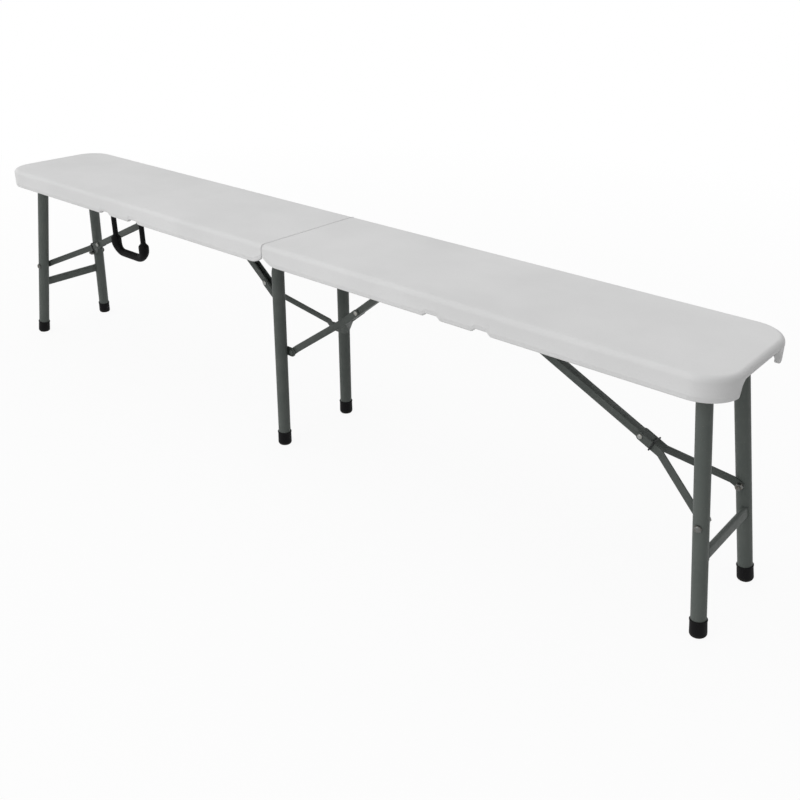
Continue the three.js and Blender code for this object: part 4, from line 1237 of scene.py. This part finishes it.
def make_handle(tree, black):
    """Two slim arms that swell at round shoulders into a thick grip, with an eye on each pin."""
    low = HANDLE_PIVOT_Z - HANDLE_DROP + GRIP_RADIUS + GRIP_LIFT
    high = HANDLE_PIVOT_Z - HANDLE_ARM_END
    shoulder = low + GRIP_RISE + SHOULDER_ABOVE
    arms_x = (-SLOT_MIDDLE - SLOT_OFFSET, -SLOT_MIDDLE + SLOT_OFFSET)
    places = ((arms_x[0], high), (arms_x[0], low), (arms_x[1], low), (arms_x[1], high))
    bends = rounded_line([mm(x, HANDLE_Y, z) for x, z in places], mm(GRIP_CORNER), 14)
    straight = steps(0.0, 1.0, 30)[1:-1]
    first = [bends[0].lerp(bends[1], share) for share in straight]
    last = [bends[-2].lerp(bends[-1], share) for share in straight]
    points = [bends[0]] + first + bends[1:-1] + last + [bends[-1]]
    thickness = []
    for point in points:
        level = point.z / MM
        swell = mix(GRIP_BAR_SHARE, GRIP_SIDE_SHARE, eased((level - low) / GRIP_SWELL_RISE))
        share = eased((shoulder - level) / SHOULDER_TALL)
        thickness.append(mix(HANDLE_ARM_RADIUS / GRIP_RADIUS, swell, share))
    build = bmesh.new()
    build.from_mesh(tube(tree, points, GRIP_RADIUS, black, thickness, HANDLE_SIDES))
    face, edge = EYE_RADIUS - EYE_EDGE, EYE_HALF - EYE_EDGE
    profile = [(EYE_BORE, -EYE_HALF), (face, -EYE_HALF), (EYE_RADIUS, -edge), (EYE_RADIUS, edge)]
    profile += [(face, EYE_HALF), (EYE_BORE, EYE_HALF), (EYE_BORE, -EYE_HALF)]
    for x in arms_x:
        pivot = Matrix.Translation(mm(x, HANDLE_Y, HANDLE_PIVOT_Z))
        place = pivot @ Matrix.Rotation(math.pi / 2.0, 4, "Y")
        turned(build, profile, place, HANDLE_SIDES)
    bmesh.ops.remove_doubles(build, verts=build.verts, dist=mm(HANDLE_MERGE))
    mesh = mesh_from(build, "handle")
    show("handle_moulding", mesh, black, "handle", ["handle"])


# Floor, light and camera


def white_for_camera(tree, shade, share, white_kind):
    """A shader that is plain white to the camera and to reflections, by a share."""
    path = add_node(tree, "ShaderNodeLightPath").outputs
    seen = path["Is Camera Ray"]
    for ray in ("Is Glossy Ray", "Is Transmission Ray"):
        seen = add_node(tree, "ShaderNodeMath", {0: seen, 1: path[ray]}, operation="MAXIMUM")
    amount = add_node(tree, "ShaderNodeMath", {0: seen, 1: share}, operation="MULTIPLY")
    white = add_node(tree, white_kind, {"Color": (1, 1, 1, 1), "Strength": 1.0})
    return add_node(tree, "ShaderNodeMixShader", {0: amount, 1: shade, 2: white})


def make_floor():
    """A pale floor that keeps the bench's shadow, fades to white and is clear from below."""
    bpy.ops.mesh.primitive_plane_add(size=FLOOR_SIZE)
    floor = bpy.context.object
    floor.name = "floor"
    material, tree, shader, place = new_material("studio floor", 0.0, 0.9, shine=0.0)
    shader.inputs["Base Color"].default_value = (FLOOR_GREY, FLOOR_GREY, FLOOR_GREY, 1.0)
    away = add_node(tree, "ShaderNodeVectorMath", {0: place}, operation="LENGTH").outputs["Value"]
    (near, near_share), (far, far_share) = FLOOR_WHITE_FROM, FLOOR_WHITE_TO
    fade = {0: away, 1: near, 2: far, 3: near_share, 4: far_share}
    share = add_node(tree, "ShaderNodeMapRange", fade)
    mixed = white_for_camera(tree, shader, share, "ShaderNodeEmission")
    behind = add_node(tree, "ShaderNodeNewGeometry").outputs["Backfacing"]
    clear = add_node(tree, "ShaderNodeBsdfTransparent")
    one_sided = add_node(tree, "ShaderNodeMixShader", {0: behind, 1: mixed, 2: clear})
    tree.links.new(one_sided.outputs[0], tree.nodes["Material Output"].inputs["Surface"])
    floor.data.materials.append(material)


def make_light():
    """A soft surround, brighter to the left, with a weak lamp in front and one above."""
    world = bpy.data.worlds.new("studio")
    bpy.context.scene.world = world
    world.use_nodes = True
    tree = world.node_tree
    sky = tree.nodes["Background"]
    sky.inputs["Color"].default_value = (1.0, 1.0, 1.0, 1.0)
    direction = add_node(tree, "ShaderNodeTexCoord").outputs["Generated"]
    compared = {0: direction, 1: Vector(BRIGHT_SIDE).normalized()}
    towards = add_node(tree, "ShaderNodeVectorMath", compared, operation="DOT_PRODUCT")
    level = {0: towards.outputs["Value"], 1: -1.0, 2: 1.0, 3: SKY_LEVELS[0], 4: SKY_LEVELS[1]}
    strength = add_node(tree, "ShaderNodeMapRange", level)
    tree.links.new(strength.outputs[0], sky.inputs["Strength"])
    seen = white_for_camera(tree, sky, 1.0, "ShaderNodeBackground")
    tree.links.new(seen.outputs[0], tree.nodes["World Output"].inputs["Surface"])
    for name, place, target, size, power in LAMPS:
        lamp_data = bpy.data.lights.new(name, "AREA")
        lamp_data.shape = "DISK"
        lamp_data.size = size
        lamp_data.energy = power
        lamp = add_object(name, lamp_data)
        lamp.location = place
        lamp.visible_camera = False
        aim = Vector(target) - Vector(place)
        lamp.rotation_euler = aim.to_track_quat("-Z", "Y").to_euler()


def make_camera():
    data = bpy.data.cameras.new("camera")
    data.sensor_width = SENSOR
    data.lens = CAMERA_FOCAL_PIXELS / FRAME_PIXELS * SENSOR
    data.shift_x = (FRAME_PIXELS / 2.0 - CAMERA_MIDDLE[0]) / FRAME_PIXELS
    data.shift_y = (CAMERA_MIDDLE[1] - FRAME_PIXELS / 2.0) / FRAME_PIXELS
    data.clip_end = CAMERA_CLIP
    camera = add_object("camera", data)
    turned_to = Matrix.Rotation(CAMERA_AZIMUTH, 4, "Z")
    turned_to @= Matrix.Rotation(math.pi / 2.0 - CAMERA_ELEVATION, 4, "X")
    turned_to @= Matrix.Rotation(CAMERA_ROLL, 4, "Z")
    camera.matrix_world = Matrix.Translation(mm(*CAMERA_PLACE)) @ turned_to
    bpy.context.scene.camera = camera


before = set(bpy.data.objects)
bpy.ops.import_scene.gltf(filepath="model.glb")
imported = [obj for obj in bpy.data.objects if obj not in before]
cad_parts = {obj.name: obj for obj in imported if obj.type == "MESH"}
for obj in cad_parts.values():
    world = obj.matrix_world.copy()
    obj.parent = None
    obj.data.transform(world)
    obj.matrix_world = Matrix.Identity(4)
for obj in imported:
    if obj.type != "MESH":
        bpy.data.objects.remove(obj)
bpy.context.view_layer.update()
bpy.context.scene.view_settings.view_transform = "Standard"

materials = {
    "seat": moulded_polyethylene(),
    "steel": powder_coated_steel(),
    "black": moulded_black_plastic(),
    "rubber": foot_rubber(),
    "zinc": zinc_plate("bright zinc plate", "#9c9e9d", "#928f86"),
    # Painted shade: the bolts and nuts get a darker grey copy of the zinc, for the dark
    # surroundings they reflect and the shade they sit in
    "painted-shade zinc": zinc_plate("painted-shade zinc plate", "#6e706f", "#65625c"),
    "wire": blackened_wire(),
}
trees = {"tube": tube_tree(), "bead": bead_tree(), "screw": screw_tree()}

make_camera()
make_light()
make_floor()
make_seats(materials["seat"])
make_end_legs(trees, materials)
make_middle_frame(trees, materials)
make_pressings(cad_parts, materials["steel"])
# The bolts and nuts take the darker copy of the zinc, which is painted shade
make_end_bolts(materials["painted-shade zinc"])
make_knee_rivets(materials["zinc"])
make_middle_heads(materials["zinc"])
make_anchor_heads(materials["zinc"])
make_screws(trees["screw"], materials["zinc"])
make_clips(trees["tube"], materials["wire"])
make_handle(trees["tube"], materials["black"])
